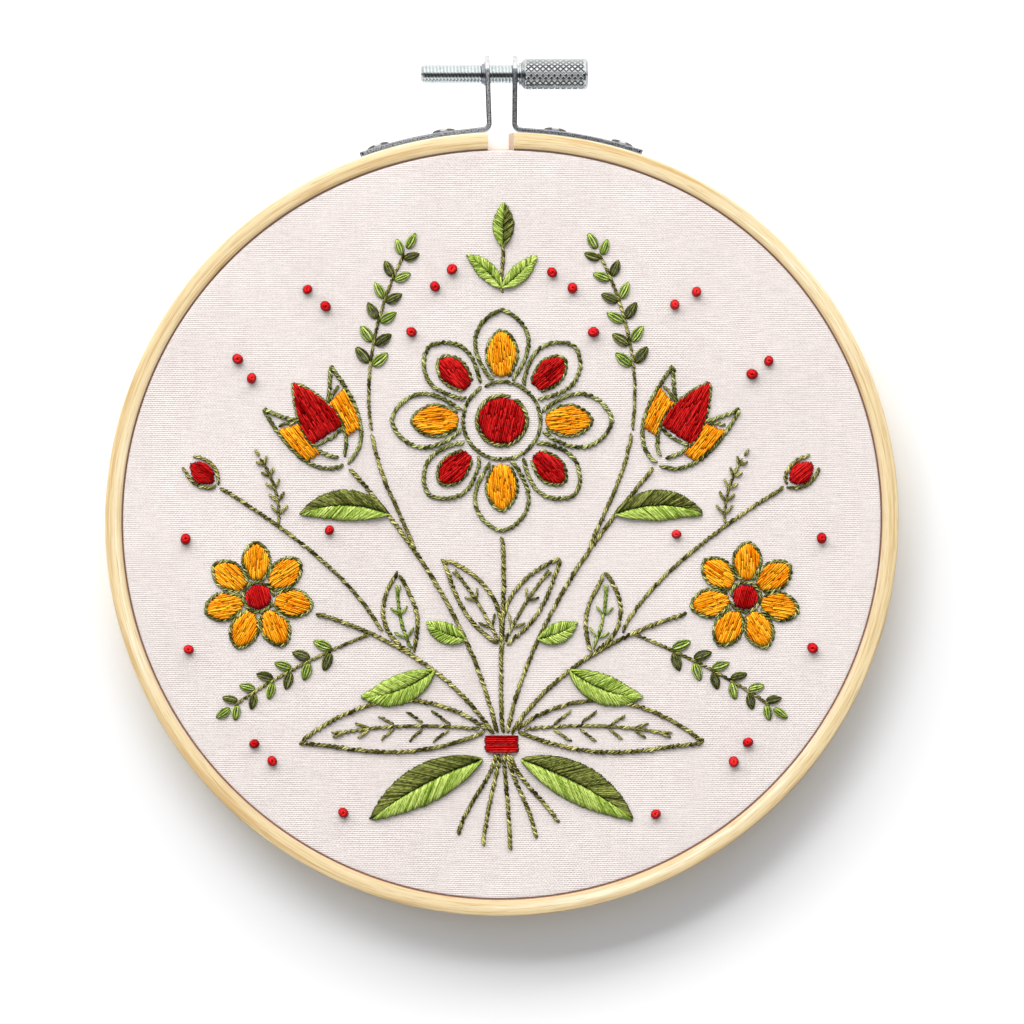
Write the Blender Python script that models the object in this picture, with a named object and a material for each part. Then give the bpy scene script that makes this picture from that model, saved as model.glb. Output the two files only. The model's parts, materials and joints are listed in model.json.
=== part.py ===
"""Embroidery hoop with a stretched, stitched cloth, lying face up.

Metres, +Z is the front of the cloth, +Y points at the clamp. The origin is the
middle of the whole outline, on the plane that the back of the hoop rests on.
"""

import math

import bmesh
import bpy
from mathutils import Vector

MM = 0.001

# ---------------------------------------------------------------- hoop outline
HOOP_R = 80.08 * MM  # mean outside radius of the outer ring
HOOP_OVAL = 0.147 * MM  # how much it is longer one way than the other
OVAL_TURN = math.radians(30.2)  # direction of the long way, from +X
END_DIP = 1.66 * MM  # the ring's two ends are drawn in towards the middle
DIP_LEFT = math.radians(42.0)  # how far round the left end's bend reaches
DIP_RIGHT = math.radians(32.0)
SEGMENTS = 96

# ---------------------------------------------------------------- wooden rings
RING_W = 3.50 * MM  # radial thickness
RING_D = 8.00 * MM  # depth, back to front
FRONT_ROUND = 0.60 * MM
BACK_EASE = 0.45 * MM
CUT_LEFT_X = -2.80 * MM  # saw cut at the front face
CUT_RIGHT_X = 2.45 * MM
CUT_SLANT = 1.08 * MM  # the cut leans this far over the ring's depth
INNER_RING_D = 6.40 * MM
INNER_RING_W = 3.40 * MM

# ----------------------------------------------------------------------- cloth
GAP = 0.30 * MM  # between neighbouring pieces
CLOTH_T = 1.00 * MM
CLOTH_TOP = 7.70 * MM
CLOTH_EDGE_ROUND = 1.30 * MM
CLOTH_HEM_Z = 0.50 * MM  # where the cloth is trimmed off between the rings

# -------------------------------------------------------------- clamp brackets
STRIP_T = 1.00 * MM
STRIP_W = 7.30 * MM
STRIP_CORNER = 1.00 * MM
BEND_R = 1.35 * MM  # centre line of the bend between foot and ear
MID_Z = 4.00 * MM  # middle of the strips and axis of the screw
SCREW_Y = 90.27 * MM  # from the middle of the hoop
SCREW_HOLE_R = 2.20 * MM
COLLAR_R = 2.55 * MM
COLLAR_L = 0.75 * MM

# side: which end of the ring; far/leave: angles at which the foot starts and at
# which it leaves the wood; ear_low/ear_high: x of the ear's centre line at the
# bend and at the screw; rivets: their angles
BRACKETS = {
    "bracket_left": {
        "side": -1,
        "far": 111.2,
        "leave": 96.5,
        "ear_low": -2.59,
        "ear_high": -2.90,
        "rivets": (98.5, 108.3),
    },
    "bracket_right": {
        "side": 1,
        "far": 69.1,
        "leave": 85.0,
        "ear_low": 2.59,
        "ear_high": 2.66,
        "rivets": (82.2, 72.3),
    },
}

RIVET_HEAD_R = 2.25 * MM
RIVET_HEAD_H = 0.70 * MM
RIVET_SHANK_R = 0.95 * MM
RIVET_HOLE_R = 1.25 * MM

# ----------------------------------------------------------------------- screw
ROD_R = 1.90 * MM
ROD_END_X = -16.33 * MM
NECK_R = 2.45 * MM
HEAD_R = 3.13 * MM
HEAD_FACE_X = 3.45 * MM  # the head's flat face, beside the right ear
HEAD_FULL_X = 4.62 * MM
HEAD_END_X = 17.62 * MM

EAR_TOP_Y = SCREW_Y + STRIP_W / 2.0


def hoop_radius(angle):
    """Outside radius of the outer ring in this direction."""
    from_top = (angle - math.pi / 2 + math.pi) % (2 * math.pi) - math.pi
    spread = DIP_LEFT if from_top > 0 else DIP_RIGHT
    return (
        HOOP_R
        + HOOP_OVAL * math.cos(2 * (angle - OVAL_TURN))
        - END_DIP * math.exp(-((from_top / spread) ** 2))
    )


# The hoop's middle is moved along Y so that the origin is the middle of the
# outline from the bottom of the ring to the tops of the ears.
BOTTOM_Y = min(
    hoop_radius(math.radians(a / 4)) * math.sin(math.radians(a / 4))
    for a in range(1000, 1160)
)
CENTRE_Y = -(EAR_TOP_Y + BOTTOM_Y) / 2.0


def at(angle, inset, z):
    """A point so far inside the outer ring's outline."""
    r = hoop_radius(angle) - inset
    return Vector((r * math.cos(angle), CENTRE_Y + r * math.sin(angle), z))


# -------------------------------------------------------------- shared helpers
def clear_scene():
    for obj in list(bpy.data.objects):
        bpy.data.objects.remove(obj, do_unlink=True)


def material(name, colour, roughness, metallic=0.0):
    mat = bpy.data.materials.new(name)
    mat.use_nodes = True
    bsdf = mat.node_tree.nodes["Principled BSDF"]
    bsdf.inputs["Base Color"].default_value = (*colour, 1.0)
    bsdf.inputs["Roughness"].default_value = roughness
    bsdf.inputs["Metallic"].default_value = metallic
    return mat


def add_object(name, bm, mat, parent=None, sharp=35.0, recalc=True):
    if recalc:
        bmesh.ops.recalc_face_normals(bm, faces=bm.faces)
    mesh = bpy.data.meshes.new(name)
    bm.to_mesh(mesh)
    bm.free()
    mesh.shade_smooth()
    mesh.set_sharp_from_angle(angle=math.radians(sharp))
    mesh.materials.append(mat)
    obj = bpy.data.objects.new(name, mesh)
    bpy.context.collection.objects.link(obj)
    obj.parent = parent
    return obj


def loft(bm, rows, close_rows):
    """Faces between rows of points; each row is a closed loop."""
    verts = [[bm.verts.new(p) for p in row] for row in rows]
    count = len(verts)
    for i in range(count if close_rows else count - 1):
        a, b = verts[i], verts[(i + 1) % count]
        for j in range(len(a)):
            k = (j + 1) % len(a)
            bm.faces.new((a[j], a[k], b[k], b[j]))
    if not close_rows:
        bm.faces.new(list(reversed(verts[0])))
        bm.faces.new(verts[-1])
    return verts


def corner(centre_in, centre_z, radius, start, end, steps):
    """Points of a rounded corner as (inset, z) pairs, angles in degrees."""
    points = []
    for i in range(steps + 1):
        a = math.radians(start + (end - start) * i / steps)
        points.append(
            (centre_in + radius * math.cos(a), centre_z + radius * math.sin(a))
        )
    return points


def ring_section(width, depth, front, back, front_steps, back_steps):
    """A ring's cross section as (inset, z), front corners round, back eased."""
    return (
        corner(back, back, back, 180, 270, back_steps)
        + corner(width - back, back, back, 270, 360, back_steps)
        + corner(width - front, depth - front, front, 0, 90, front_steps)
        + corner(front, depth - front, front, 90, 180, front_steps)
    )


# ----------------------------------------------------------------------- rings
def cut_angle(front_x, inset, z):
    """The angle at which a line along the ring meets the slanted saw cut."""
    x = front_x - CUT_SLANT * (1 - z / RING_D)
    angle = math.pi / 2
    for _ in range(12):
        angle = math.acos(x / (hoop_radius(angle) - inset))
    return angle


def make_outer_ring(mat, parent):
    """The split ring, from its left end round by the bottom to its right end."""
    section = ring_section(RING_W, RING_D, FRONT_ROUND, BACK_EASE, 3, 1)
    rows = []
    for i in range(SEGMENTS + 1):
        t = i / SEGMENTS
        row = []
        for inset, z in section:
            start = cut_angle(CUT_LEFT_X, inset, z)
            end = cut_angle(CUT_RIGHT_X, inset, z) + 2 * math.pi
            row.append(at(start + (end - start) * t, inset, z))
        rows.append(row)
    bm = bmesh.new()
    loft(bm, rows, close_rows=False)
    return add_object("outer_ring", bm, mat, parent)


def make_inner_ring(mat, parent):
    outside = RING_W + GAP + CLOTH_T + GAP
    section = ring_section(INNER_RING_W, INNER_RING_D, 0.5 * MM, BACK_EASE, 1, 1)
    rows = [
        [at(2 * math.pi * i / SEGMENTS, outside + inset, z) for inset, z in section]
        for i in range(SEGMENTS)
    ]
    bm = bmesh.new()
    loft(bm, rows, close_rows=True)
    return add_object("inner_ring", bm, mat, parent)


def make_cloth(mat, parent):
    """One sheet: the taut face, its rounded edge and the wall between the rings."""
    face = RING_W + GAP
    inner_round = CLOTH_EDGE_ROUND - CLOTH_T
    outside = corner(
        face + CLOTH_EDGE_ROUND,
        CLOTH_TOP - CLOTH_EDGE_ROUND,
        CLOTH_EDGE_ROUND,
        90,
        180,
        4,
    )
    inside = corner(
        face + CLOTH_EDGE_ROUND,
        CLOTH_TOP - CLOTH_EDGE_ROUND,
        inner_round,
        180,
        90,
        2,
    )
    profile = (
        outside + [(face, CLOTH_HEM_Z), (face + CLOTH_T, CLOTH_HEM_Z)] + inside
    )
    bm = bmesh.new()
    loops = []
    for inset, z in profile:
        loops.append(
            [
                bm.verts.new(at(2 * math.pi * i / SEGMENTS, inset, z))
                for i in range(SEGMENTS)
            ]
        )
    for a, b in zip(loops, loops[1:]):
        for i in range(SEGMENTS):
            j = (i + 1) % SEGMENTS
            bm.faces.new((a[i], b[i], b[j], a[j]))
    bm.faces.new(loops[0])
    bm.faces.new(list(reversed(loops[-1])))
    return add_object("cloth", bm, mat, parent)


# -------------------------------------------------------------------- brackets
def strip_path(spec):
    """Centre line of one bracket seen from the front, foot end first."""
    far, leave = math.radians(spec["far"]), math.radians(spec["leave"])
    lift = GAP + STRIP_T / 2
    points = []
    steps = 8
    for i in range(steps + 1):
        points.append(at(far + (leave - far) * i / steps, -lift, 0).to_2d())
    ahead = (points[-1] - points[-2]).normalized()
    low = Vector((spec["ear_low"] * MM, 0))
    high = Vector((spec["ear_high"] * MM, CENTRE_Y + SCREW_Y))
    # the ear's line, through its two given places
    low.y = points[-1].y + 3 * MM
    up = (high - low).normalized()
    # where the foot's straight run would meet the ear's line
    across = ahead.x * up.y - ahead.y * up.x
    gap = low - points[-1]
    meet = points[-1] + ahead * ((gap.x * up.y - gap.y * up.x) / across)
    turn = math.acos(max(-1.0, min(1.0, ahead.dot(up))))
    back = BEND_R * math.tan(turn / 2)
    first = meet - ahead * back
    normal = Vector((-ahead.y, ahead.x))
    if normal.dot(up) < 0:
        normal = -normal
    centre = first + normal * BEND_R
    steps = 6
    arm = first - centre
    sign = 1 if ahead.x * up.y - ahead.y * up.x > 0 else -1
    for i in range(steps + 1):
        a = sign * turn * i / steps
        points.append(
            centre
            + Vector(
                (
                    arm.x * math.cos(a) - arm.y * math.sin(a),
                    arm.x * math.sin(a) + arm.y * math.cos(a),
                )
            )
        )
    return points, up, high


def strip_sections(spec):
    """Rows of four corners along the strip, with its rounded ends."""
    points, up, screw = strip_path(spec)
    half = STRIP_W / 2
    rows = []

    def add(point, ahead, width):
        side = Vector((-ahead.y, ahead.x)) * STRIP_T / 2
        for_row = []
        for s, z in ((-1, -1), (1, -1), (1, 1), (-1, 1)):
            xy = point + side * s
            for_row.append(Vector((xy.x, xy.y, MID_Z + z * width)))
        rows.append(for_row)

    ahead = (points[1] - points[0]).normalized()
    for step in (0, 30, 60, 90):
        a = math.radians(step)
        add(
            points[0] + ahead * STRIP_CORNER * (1 - math.cos(a)),
            ahead,
            half - STRIP_CORNER * (1 - math.sin(a)),
        )
    for i in range(1, len(points)):
        before = points[i] - points[i - 1]
        after = points[i + 1] - points[i] if i + 1 < len(points) else up
        add(points[i], (before.normalized() + after.normalized()).normalized(), half)
    for step in (0, 15, 30, 45, 60, 75, 86):
        a = math.radians(step)
        add(screw + up * half * math.sin(a), up, half * math.cos(a))
    return rows


def cylinder(bm, centre, axis, radius, length, sides):
    """A plain cylinder whose middle is at centre."""
    turn = Vector((0, 0, 1)).rotation_difference(axis)
    made = bmesh.ops.create_cone(
        bm,
        cap_ends=True,
        segments=sides,
        radius1=radius,
        radius2=radius,
        depth=length,
    )
    for v in made["verts"]:
        v.co = turn @ v.co + centre


def cut_with(obj, name, tools):
    """Takes the cylinders in tools out of obj with a Boolean."""
    bm = bmesh.new()
    for tool in tools:
        cylinder(bm, *tool)
    cutter = add_object(name, bm, obj.data.materials[0], obj.parent, recalc=False)
    cutter.hide_render = True
    cutter.display_type = "WIRE"
    boolean = obj.modifiers.new(name, "BOOLEAN")
    boolean.operation = "DIFFERENCE"
    boolean.solver = "EXACT"
    boolean.object = cutter


def make_bracket(name, spec, mat, parent):
    bm = bmesh.new()
    loft(bm, strip_sections(spec), close_rows=False)
    obj = add_object(name, bm, mat, parent)
    points, up, screw = strip_path(spec)
    across = Vector((1, 0, 0))
    axis_point = Vector((screw.x, screw.y, MID_Z))
    if spec["side"] < 0:
        # the threaded collar drawn out of the left ear
        bm = bmesh.new()
        middle = axis_point - across * (STRIP_T / 2 + COLLAR_L / 2 - 0.1 * MM)
        cylinder(bm, middle, across, COLLAR_R, COLLAR_L + 0.2 * MM, 32)
        collar = add_object(name + "_collar", bm, mat, parent)
        collar.hide_render = True
        collar.display_type = "WIRE"
        union = obj.modifiers.new("collar", "BOOLEAN")
        union.operation = "UNION"
        union.solver = "EXACT"
        union.object = collar
    tools = [(axis_point, across, SCREW_HOLE_R, 8 * MM, 32)]
    for degrees in spec["rivets"]:
        a = math.radians(degrees)
        out = Vector((math.cos(a), math.sin(a), 0))
        tools.append(
            (at(a, -GAP - STRIP_T / 2, MID_Z), out, RIVET_HOLE_R, 3 * MM, 16)
        )
    cut_with(obj, name + "_holes", tools)
    return obj


# ---------------------------------------------------------------------- turned
def turned(profile, sides):
    """A closed turned shape about +X from (x, radius) pairs, axis to axis."""
    bm = bmesh.new()
    first = bm.verts.new((profile[0][0], 0, 0))
    last = bm.verts.new((profile[-1][0], 0, 0))
    rings = []
    for x, r in profile[1:-1]:
        ring = []
        for i in range(sides):
            a = 2 * math.pi * i / sides
            ring.append(bm.verts.new((x, r * math.cos(a), r * math.sin(a))))
        rings.append(ring)
    for i in range(sides):
        j = (i + 1) % sides
        bm.faces.new((first, rings[0][j], rings[0][i]))
        bm.faces.new((last, rings[-1][i], rings[-1][j]))
        for a, b in zip(rings, rings[1:]):
            bm.faces.new((a[i], a[j], b[j], b[i]))
    return bm


def make_rivet(name, degrees, mat, parent):
    """A domed head with its shank through the strip; +X of the mesh is outward."""
    profile = [(-STRIP_T - GAP, 0), (-STRIP_T - GAP, RIVET_SHANK_R)]
    profile += [(0, RIVET_SHANK_R), (0, RIVET_HEAD_R)]
    for step in (20, 40, 60, 78):
        a = math.radians(step)
        profile.append((RIVET_HEAD_H * math.sin(a), RIVET_HEAD_R * math.cos(a)))
    profile.append((RIVET_HEAD_H, 0))
    obj = add_object(name, turned(profile, 20), mat, parent)
    a = math.radians(degrees)
    # the strip's outside face, and the gap that the head keeps to it
    obj.location = at(a, -(GAP + STRIP_T + GAP), MID_Z)
    obj.rotation_euler = (0, 0, a)
    return obj


def make_screw(mat, parent):
    profile = [
        (ROD_END_X, 0),
        (ROD_END_X, ROD_R - 0.45 * MM),
        (ROD_END_X + 0.45 * MM, ROD_R),
        (HEAD_FACE_X, ROD_R),
        (HEAD_FACE_X, NECK_R),
        (HEAD_FACE_X + 0.75 * MM, NECK_R),
        (HEAD_FULL_X, HEAD_R),
        (HEAD_END_X - 0.45 * MM, HEAD_R),
        (HEAD_END_X, HEAD_R - 0.45 * MM),
        (HEAD_END_X, 0),
    ]
    return add_object("clamp_screw", turned(profile, 32), mat, parent)


def empty(name, location, parent=None):
    obj = bpy.data.objects.new(name, None)
    obj.empty_display_size = 0.01
    bpy.context.collection.objects.link(obj)
    obj.location = location
    obj.parent = parent
    return obj


def main():
    clear_scene()
    bamboo = material("bamboo", (0.86, 0.66, 0.38), 0.45)
    inner_wood = material("inner_bamboo", (0.80, 0.58, 0.32), 0.50)
    cotton = material("cotton", (0.86, 0.80, 0.78), 0.90)
    sheet = material("zinc_sheet", (0.52, 0.54, 0.58), 0.35, 1.0)
    rivet = material("rivet_steel", (0.70, 0.72, 0.75), 0.22, 1.0)
    screw = material("screw_steel", (0.62, 0.64, 0.68), 0.25, 1.0)

    hoop = empty("hoop", (0, 0, 0))
    make_outer_ring(bamboo, hoop)
    make_inner_ring(inner_wood, hoop)
    make_cloth(cotton, hoop)
    for name, spec in BRACKETS.items():
        make_bracket(name, spec, sheet, hoop)
        for i, degrees in enumerate(spec["rivets"]):
            label = name.replace("bracket", "rivet") + f"_{i + 1}"
            make_rivet(label, degrees, rivet, hoop)
    axis = empty("screw_axis", (0, CENTRE_Y + SCREW_Y, MID_Z), hoop)
    make_screw(screw, axis)


main()
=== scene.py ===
"""Looks of the hoop embroidery: pale bamboo hoop, zinc clamp, cotton cloth and
stranded-cotton stitches, all built in metres in the frame's own axes."""

import json
import math

import bmesh
import bpy
import numpy as np
from mathutils import Matrix, Vector

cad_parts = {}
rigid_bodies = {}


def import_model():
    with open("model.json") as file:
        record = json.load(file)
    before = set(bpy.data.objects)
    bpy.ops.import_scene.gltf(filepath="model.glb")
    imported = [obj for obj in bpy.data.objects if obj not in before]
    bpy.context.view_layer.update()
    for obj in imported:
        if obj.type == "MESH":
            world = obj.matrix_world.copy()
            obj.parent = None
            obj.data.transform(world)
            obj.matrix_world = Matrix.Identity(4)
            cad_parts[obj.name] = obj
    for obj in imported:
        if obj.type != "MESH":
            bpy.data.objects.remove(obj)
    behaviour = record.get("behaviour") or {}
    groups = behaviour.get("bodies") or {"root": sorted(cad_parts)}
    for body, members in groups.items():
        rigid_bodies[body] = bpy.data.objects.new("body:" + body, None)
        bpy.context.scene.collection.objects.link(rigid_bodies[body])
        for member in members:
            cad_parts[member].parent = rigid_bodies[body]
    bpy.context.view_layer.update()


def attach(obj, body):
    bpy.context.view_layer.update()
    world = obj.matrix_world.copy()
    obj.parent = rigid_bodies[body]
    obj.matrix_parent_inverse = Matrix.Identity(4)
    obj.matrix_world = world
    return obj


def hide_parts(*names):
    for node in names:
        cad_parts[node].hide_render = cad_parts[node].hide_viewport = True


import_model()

MM = 0.001
KEY_POWER = 44.5
WINDOW_POWER = 250.0
# the room as polished metal shows it: degrees towards +Y from overhead, then
# how bright it is there in the middle of the view and out at its sides
MIRRORED = [
    (-180, 0.80, 0.05),
    (-165, 0.80, 0.10),
    (-150, 0.90, 0.60),
    (-100, 1.00, 0.76),
    (-82, 0.70, 0.66),
    (-64, 0.95, 0.62),
    (-54, 0.72, 0.26),
    (-44, 0.06, 0.03),
    (-30, 0.02, 0.02),
    (-4, 0.02, 0.02),
    (8, 0.14, 0.06),
    (20, 0.95, 0.40),
    (30, 1.22, 0.60),
    (70, 1.16, 0.66),
    (84, 1.00, 0.66),
    (120, 1.00, 0.74),
    (150, 0.86, 0.54),
    (165, 0.84, 0.10),
    (180, 0.84, 0.05),
]

# ------------------------------------------------------------------ shared sizes
HOOP_R = 80.08 * MM
HOOP_OVAL = 0.147 * MM
OVAL_TURN = math.radians(30.2)
END_DIP = 1.66 * MM
DIP_LEFT = math.radians(42.0)
DIP_RIGHT = math.radians(32.0)
RING_W = 3.50 * MM
RING_D = 8.00 * MM
FACE_W = 3.46 * MM
CUT_LEFT_X = -2.80 * MM
CUT_RIGHT_X = 2.45 * MM
CUT_SLANT = 1.08 * MM
CLOTH_TOP = 7.70 * MM
STRIP_T = 1.00 * MM
STRIP_W = 7.30 * MM
MID_Z = 4.00 * MM
SCREW_Y = 90.27 * MM
BEND_R = 1.35 * MM
GAP = 0.30 * MM
ROD_R = 1.88 * MM
PITCH = 0.70 * MM
ROD_END_X = -16.33 * MM
HEAD_R = 3.13 * MM
HEAD_FACE_X = 3.45 * MM
HEAD_FULL_X = 4.62 * MM
HEAD_END_X = 17.38 * MM
KNURL_FLAT = 0.50
KNURL_DEPTH = 0.165 * MM
BOTTOM_Y = -80.0077 * MM
CENTRE_Y = -(SCREW_Y + STRIP_W / 2.0 + BOTTOM_Y) / 2.0

BRACKETS = {
    "bracket_left": dict(
        side=-1, far=111.2, leave=96.5, low=-2.59, high=-2.90, rivets=(98.5, 108.3)
    ),
    "bracket_right": dict(
        side=1, far=69.1, leave=85.0, low=2.59, high=2.66, rivets=(82.2, 72.3)
    ),
}


def hoop_radius(angle):
    """Outside radius of the outer ring, for one angle or an array of them."""
    from_top = (np.asarray(angle) - np.pi / 2 + np.pi) % (2 * np.pi) - np.pi
    spread = np.where(from_top > 0, DIP_LEFT, DIP_RIGHT)
    return (
        HOOP_R
        + HOOP_OVAL * np.cos(2 * (np.asarray(angle) - OVAL_TURN))
        - END_DIP * np.exp(-((from_top / spread) ** 2))
    )


def smooth_noise(seed, count, waves, low=1, high=12):
    """A closed wavy line of count values in about -1..1, from a few sines."""
    rng = np.random.default_rng(seed)
    t = np.linspace(0, 2 * np.pi, count, endpoint=False)
    out = np.zeros(count)
    for _ in range(waves):
        k = rng.integers(low, high)
        out += rng.normal() * np.sin(k * t + rng.uniform(0, 6.28)) / math.sqrt(k)
    return out / max(1e-9, np.abs(out).max())


# ------------------------------------------------------------------ mesh helpers
def make_mesh(name, verts, faces, mat, body="hoop", attrs=None, sharp=None):
    """A smooth-shaded object from arrays; attrs holds point attributes."""
    mesh = bpy.data.meshes.new(name)
    verts = np.asarray(verts, np.float32)
    if isinstance(faces, np.ndarray):
        n, k = faces.shape
        mesh.vertices.add(len(verts))
        mesh.vertices.foreach_set("co", verts.ravel())
        mesh.loops.add(n * k)
        mesh.loops.foreach_set("vertex_index", faces.astype(np.int32).ravel())
        mesh.polygons.add(n)
        mesh.polygons.foreach_set("loop_start", np.arange(0, n * k, k, dtype=np.int32))
        mesh.update(calc_edges=True)
        mesh.validate()
    else:
        mesh.from_pydata(verts.tolist(), [], [list(map(int, f)) for f in faces])
        mesh.update()
    for key, values in (attrs or {}).items():
        values = np.asarray(values, np.float32)
        kind = "FLOAT" if values.ndim == 1 else "FLOAT_VECTOR"
        layer = mesh.attributes.new(key, kind, "POINT")
        layer.data.foreach_set("value" if values.ndim == 1 else "vector", values.ravel())
    mesh.shade_smooth()
    if sharp:
        mesh.set_sharp_from_angle(angle=math.radians(sharp))
    if mat:
        mesh.materials.append(mat)
    obj = bpy.data.objects.new(name, mesh)
    bpy.context.scene.collection.objects.link(obj)
    if body:
        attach(obj, body)
    return obj


def grid_faces(rows, cols, close_rows=False, close_cols=False, start=0):
    """Quads of a grid of points stored row by row."""
    i = np.arange(rows if close_rows else rows - 1)
    j = np.arange(cols if close_cols else cols - 1)
    i, j = np.meshgrid(i, j, indexing="ij")
    i2, j2 = (i + 1) % rows, (j + 1) % cols
    quads = np.stack(
        [i * cols + j, i * cols + j2, i2 * cols + j2, i2 * cols + j], axis=-1
    )
    return quads.reshape(-1, 4) + start


def ring_points(angles, insets, zs):
    """Points so far inside the hoop's outline: (angles, insets, 3)."""
    angles = np.asarray(angles)[:, None]
    r = hoop_radius(angles) - np.asarray(insets)[None, :]
    x = r * np.cos(angles)
    y = CENTRE_Y + r * np.sin(angles)
    z = np.broadcast_to(np.asarray(zs)[None, :], x.shape)
    return np.stack([x, y, z], axis=-1)


def arc(cx, cz, r, a0, a1, n):
    a = np.radians(np.linspace(a0, a1, n))
    return np.stack([cx + r * np.cos(a), cz + r * np.sin(a)], axis=-1)


def run_length(points):
    """Distance along a polyline, from 0."""
    d = np.linalg.norm(np.diff(points, axis=0), axis=1)
    return np.concatenate([[0.0], np.cumsum(d)])


# ---------------------------------------------------------------- node shorthand
class Nodes:
    """A short way to write a material's node tree."""

    def __init__(self, name):
        self.mat = bpy.data.materials.new(name)
        self.mat.use_nodes = True
        self.tree = self.mat.node_tree
        self.bsdf = self.tree.nodes["Principled BSDF"]

    def new(self, kind, **settings):
        node = self.tree.nodes.new(kind)
        for key, value in settings.items():
            setattr(node, key, value)
        return node

    def link(self, out, into):
        self.tree.links.new(out, into)

    def put(self, socket, value):
        if isinstance(value, bpy.types.NodeSocket):
            self.link(value, socket)
        else:
            socket.default_value = value

    def attr(self, name):
        return self.new("ShaderNodeAttribute", attribute_name=name)

    def math(self, op, a, b=None, c=None, clamp=False):
        node = self.new("ShaderNodeMath", operation=op, use_clamp=clamp)
        self.put(node.inputs[0], a)
        if b is not None:
            self.put(node.inputs[1], b)
        if c is not None:
            self.put(node.inputs[2], c)
        return node.outputs[0]

    def vmath(self, op, a, b=None):
        node = self.new("ShaderNodeVectorMath", operation=op)
        self.put(node.inputs[0], a)
        if b is not None:
            self.put(node.inputs[1], b)
        return node.outputs[0]

    def split(self, vector):
        node = self.new("ShaderNodeSeparateXYZ")
        self.link(vector, node.inputs[0])
        return node.outputs

    def join(self, x, y, z):
        node = self.new("ShaderNodeCombineXYZ")
        for socket, value in zip(node.inputs, (x, y, z)):
            self.put(socket, value)
        return node.outputs[0]

    def noise(self, vector, scale, detail=2.0, rough=0.5, distortion=0.0):
        node = self.new("ShaderNodeTexNoise")
        node.inputs["Scale"].default_value = scale
        node.inputs["Detail"].default_value = detail
        node.inputs["Roughness"].default_value = rough
        node.inputs["Distortion"].default_value = distortion
        self.link(vector, node.inputs["Vector"])
        return node.outputs[0]

    def ramp(self, value, stops, mode="LINEAR"):
        node = self.new("ShaderNodeValToRGB")
        node.color_ramp.interpolation = mode
        ramp = node.color_ramp.elements
        while len(ramp) < len(stops):
            ramp.new(0.5)
        for element, (place, colour) in zip(ramp, stops):
            element.position = place
            element.color = (*colour, 1.0) if len(colour) == 3 else colour
        self.link(value, node.inputs[0])
        return node.outputs[0]

    def mix(self, factor, a, b, blend="MIX"):
        node = self.new("ShaderNodeMix", data_type="RGBA", blend_type=blend)
        self.put(node.inputs["Factor"], factor)
        for socket, value in ((node.inputs[6], a), (node.inputs[7], b)):
            if isinstance(value, tuple) and len(value) == 3:
                value = (*value, 1.0)
            self.put(socket, value)
        return node.outputs[2]

    def rescale(self, value, low, high, to_low, to_high):
        node = self.new("ShaderNodeMapRange")
        self.put(node.inputs["Value"], value)
        for key, number in (
            ("From Min", low),
            ("From Max", high),
            ("To Min", to_low),
            ("To Max", to_high),
        ):
            node.inputs[key].default_value = number
        return node.outputs[0]

    def bump(self, height, distance, strength=1.0, normal=None):
        node = self.new("ShaderNodeBump")
        node.inputs["Strength"].default_value = strength
        node.inputs["Distance"].default_value = distance
        self.link(height, node.inputs["Height"])
        if normal is not None:
            self.link(normal, node.inputs["Normal"])
        return node.outputs[0]

    def set(self, **values):
        for key, value in values.items():
            self.put(self.bsdf.inputs[key.replace("_", " ")], value)
        return self.mat


def srgb(*rgb):
    """Linear colour from 0..255 screen values."""
    out = []
    for c in rgb:
        c /= 255.0
        out.append(c / 12.92 if c <= 0.04045 else ((c + 0.055) / 1.055) ** 2.4)
    return tuple(out)


# --------------------------------------------------------------------- materials
def wood_material(name, light, mid, dark, streak, knots=True):
    """Bamboo: long fine fibres along the ring, read from the grain attribute,
    which holds (distance along, distance across the face, depth) in metres."""
    n = Nodes(name)
    grain = n.attr("grain").outputs["Vector"]
    x, y, z = n.split(grain)
    # broad bands of colour, then fibres, then short dark flecks
    broad = n.noise(n.join(n.math("MULTIPLY", x, 12.0), n.math("MULTIPLY", y, 620.0), n.math("MULTIPLY", z, 60.0)), 1.0, 2.0, 0.5)
    fibre = n.noise(n.join(n.math("MULTIPLY", x, 55.0), n.math("MULTIPLY", y, 2300.0), n.math("MULTIPLY", z, 500.0)), 1.0, 3.0, 0.6)
    hair = n.noise(n.join(n.math("MULTIPLY", x, 190.0), n.math("MULTIPLY", y, 6000.0), n.math("MULTIPLY", z, 900.0)), 1.0, 2.0, 0.5)
    tone = n.math("ADD", n.math("MULTIPLY", broad, 0.50), n.math("MULTIPLY", fibre, 0.50))
    base = n.ramp(
        tone, [(0.39, dark), (0.48, mid), (0.53, mid), (0.62, light)]
    )
    fleck = n.rescale(hair, 0.57, 0.72, 0.0, 1.0)
    fleck_2 = n.rescale(fibre, 0.55, 0.68, 0.0, 0.9)
    base = n.mix(n.math("MULTIPLY", fleck, 0.58, clamp=True), base, streak)
    base = n.mix(n.math("MULTIPLY", fleck_2, 0.50, clamp=True), base, streak)
    # painted shade: brown and strong in the crease beside the cloth, faint round the outer rim
    edge = n.attr("edge").outputs["Fac"]
    base = n.mix(n.math("MULTIPLY", edge, 0.92, clamp=True), base, srgb(122, 62, 22))
    height = n.math("ADD", n.math("MULTIPLY", fibre, 0.7), n.math("MULTIPLY", hair, 0.5))
    n.set(
        Base_Color=base,
        Roughness=n.rescale(fibre, 0.3, 0.7, 0.42, 0.58),
        Normal=n.bump(height, 0.00006, 0.55),
    )
    n.bsdf.inputs["Specular IOR Level"].default_value = 0.32
    n.bsdf.inputs["Coat Weight"].default_value = 0.06
    n.bsdf.inputs["Coat Roughness"].default_value = 0.35
    return n.mat


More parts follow.
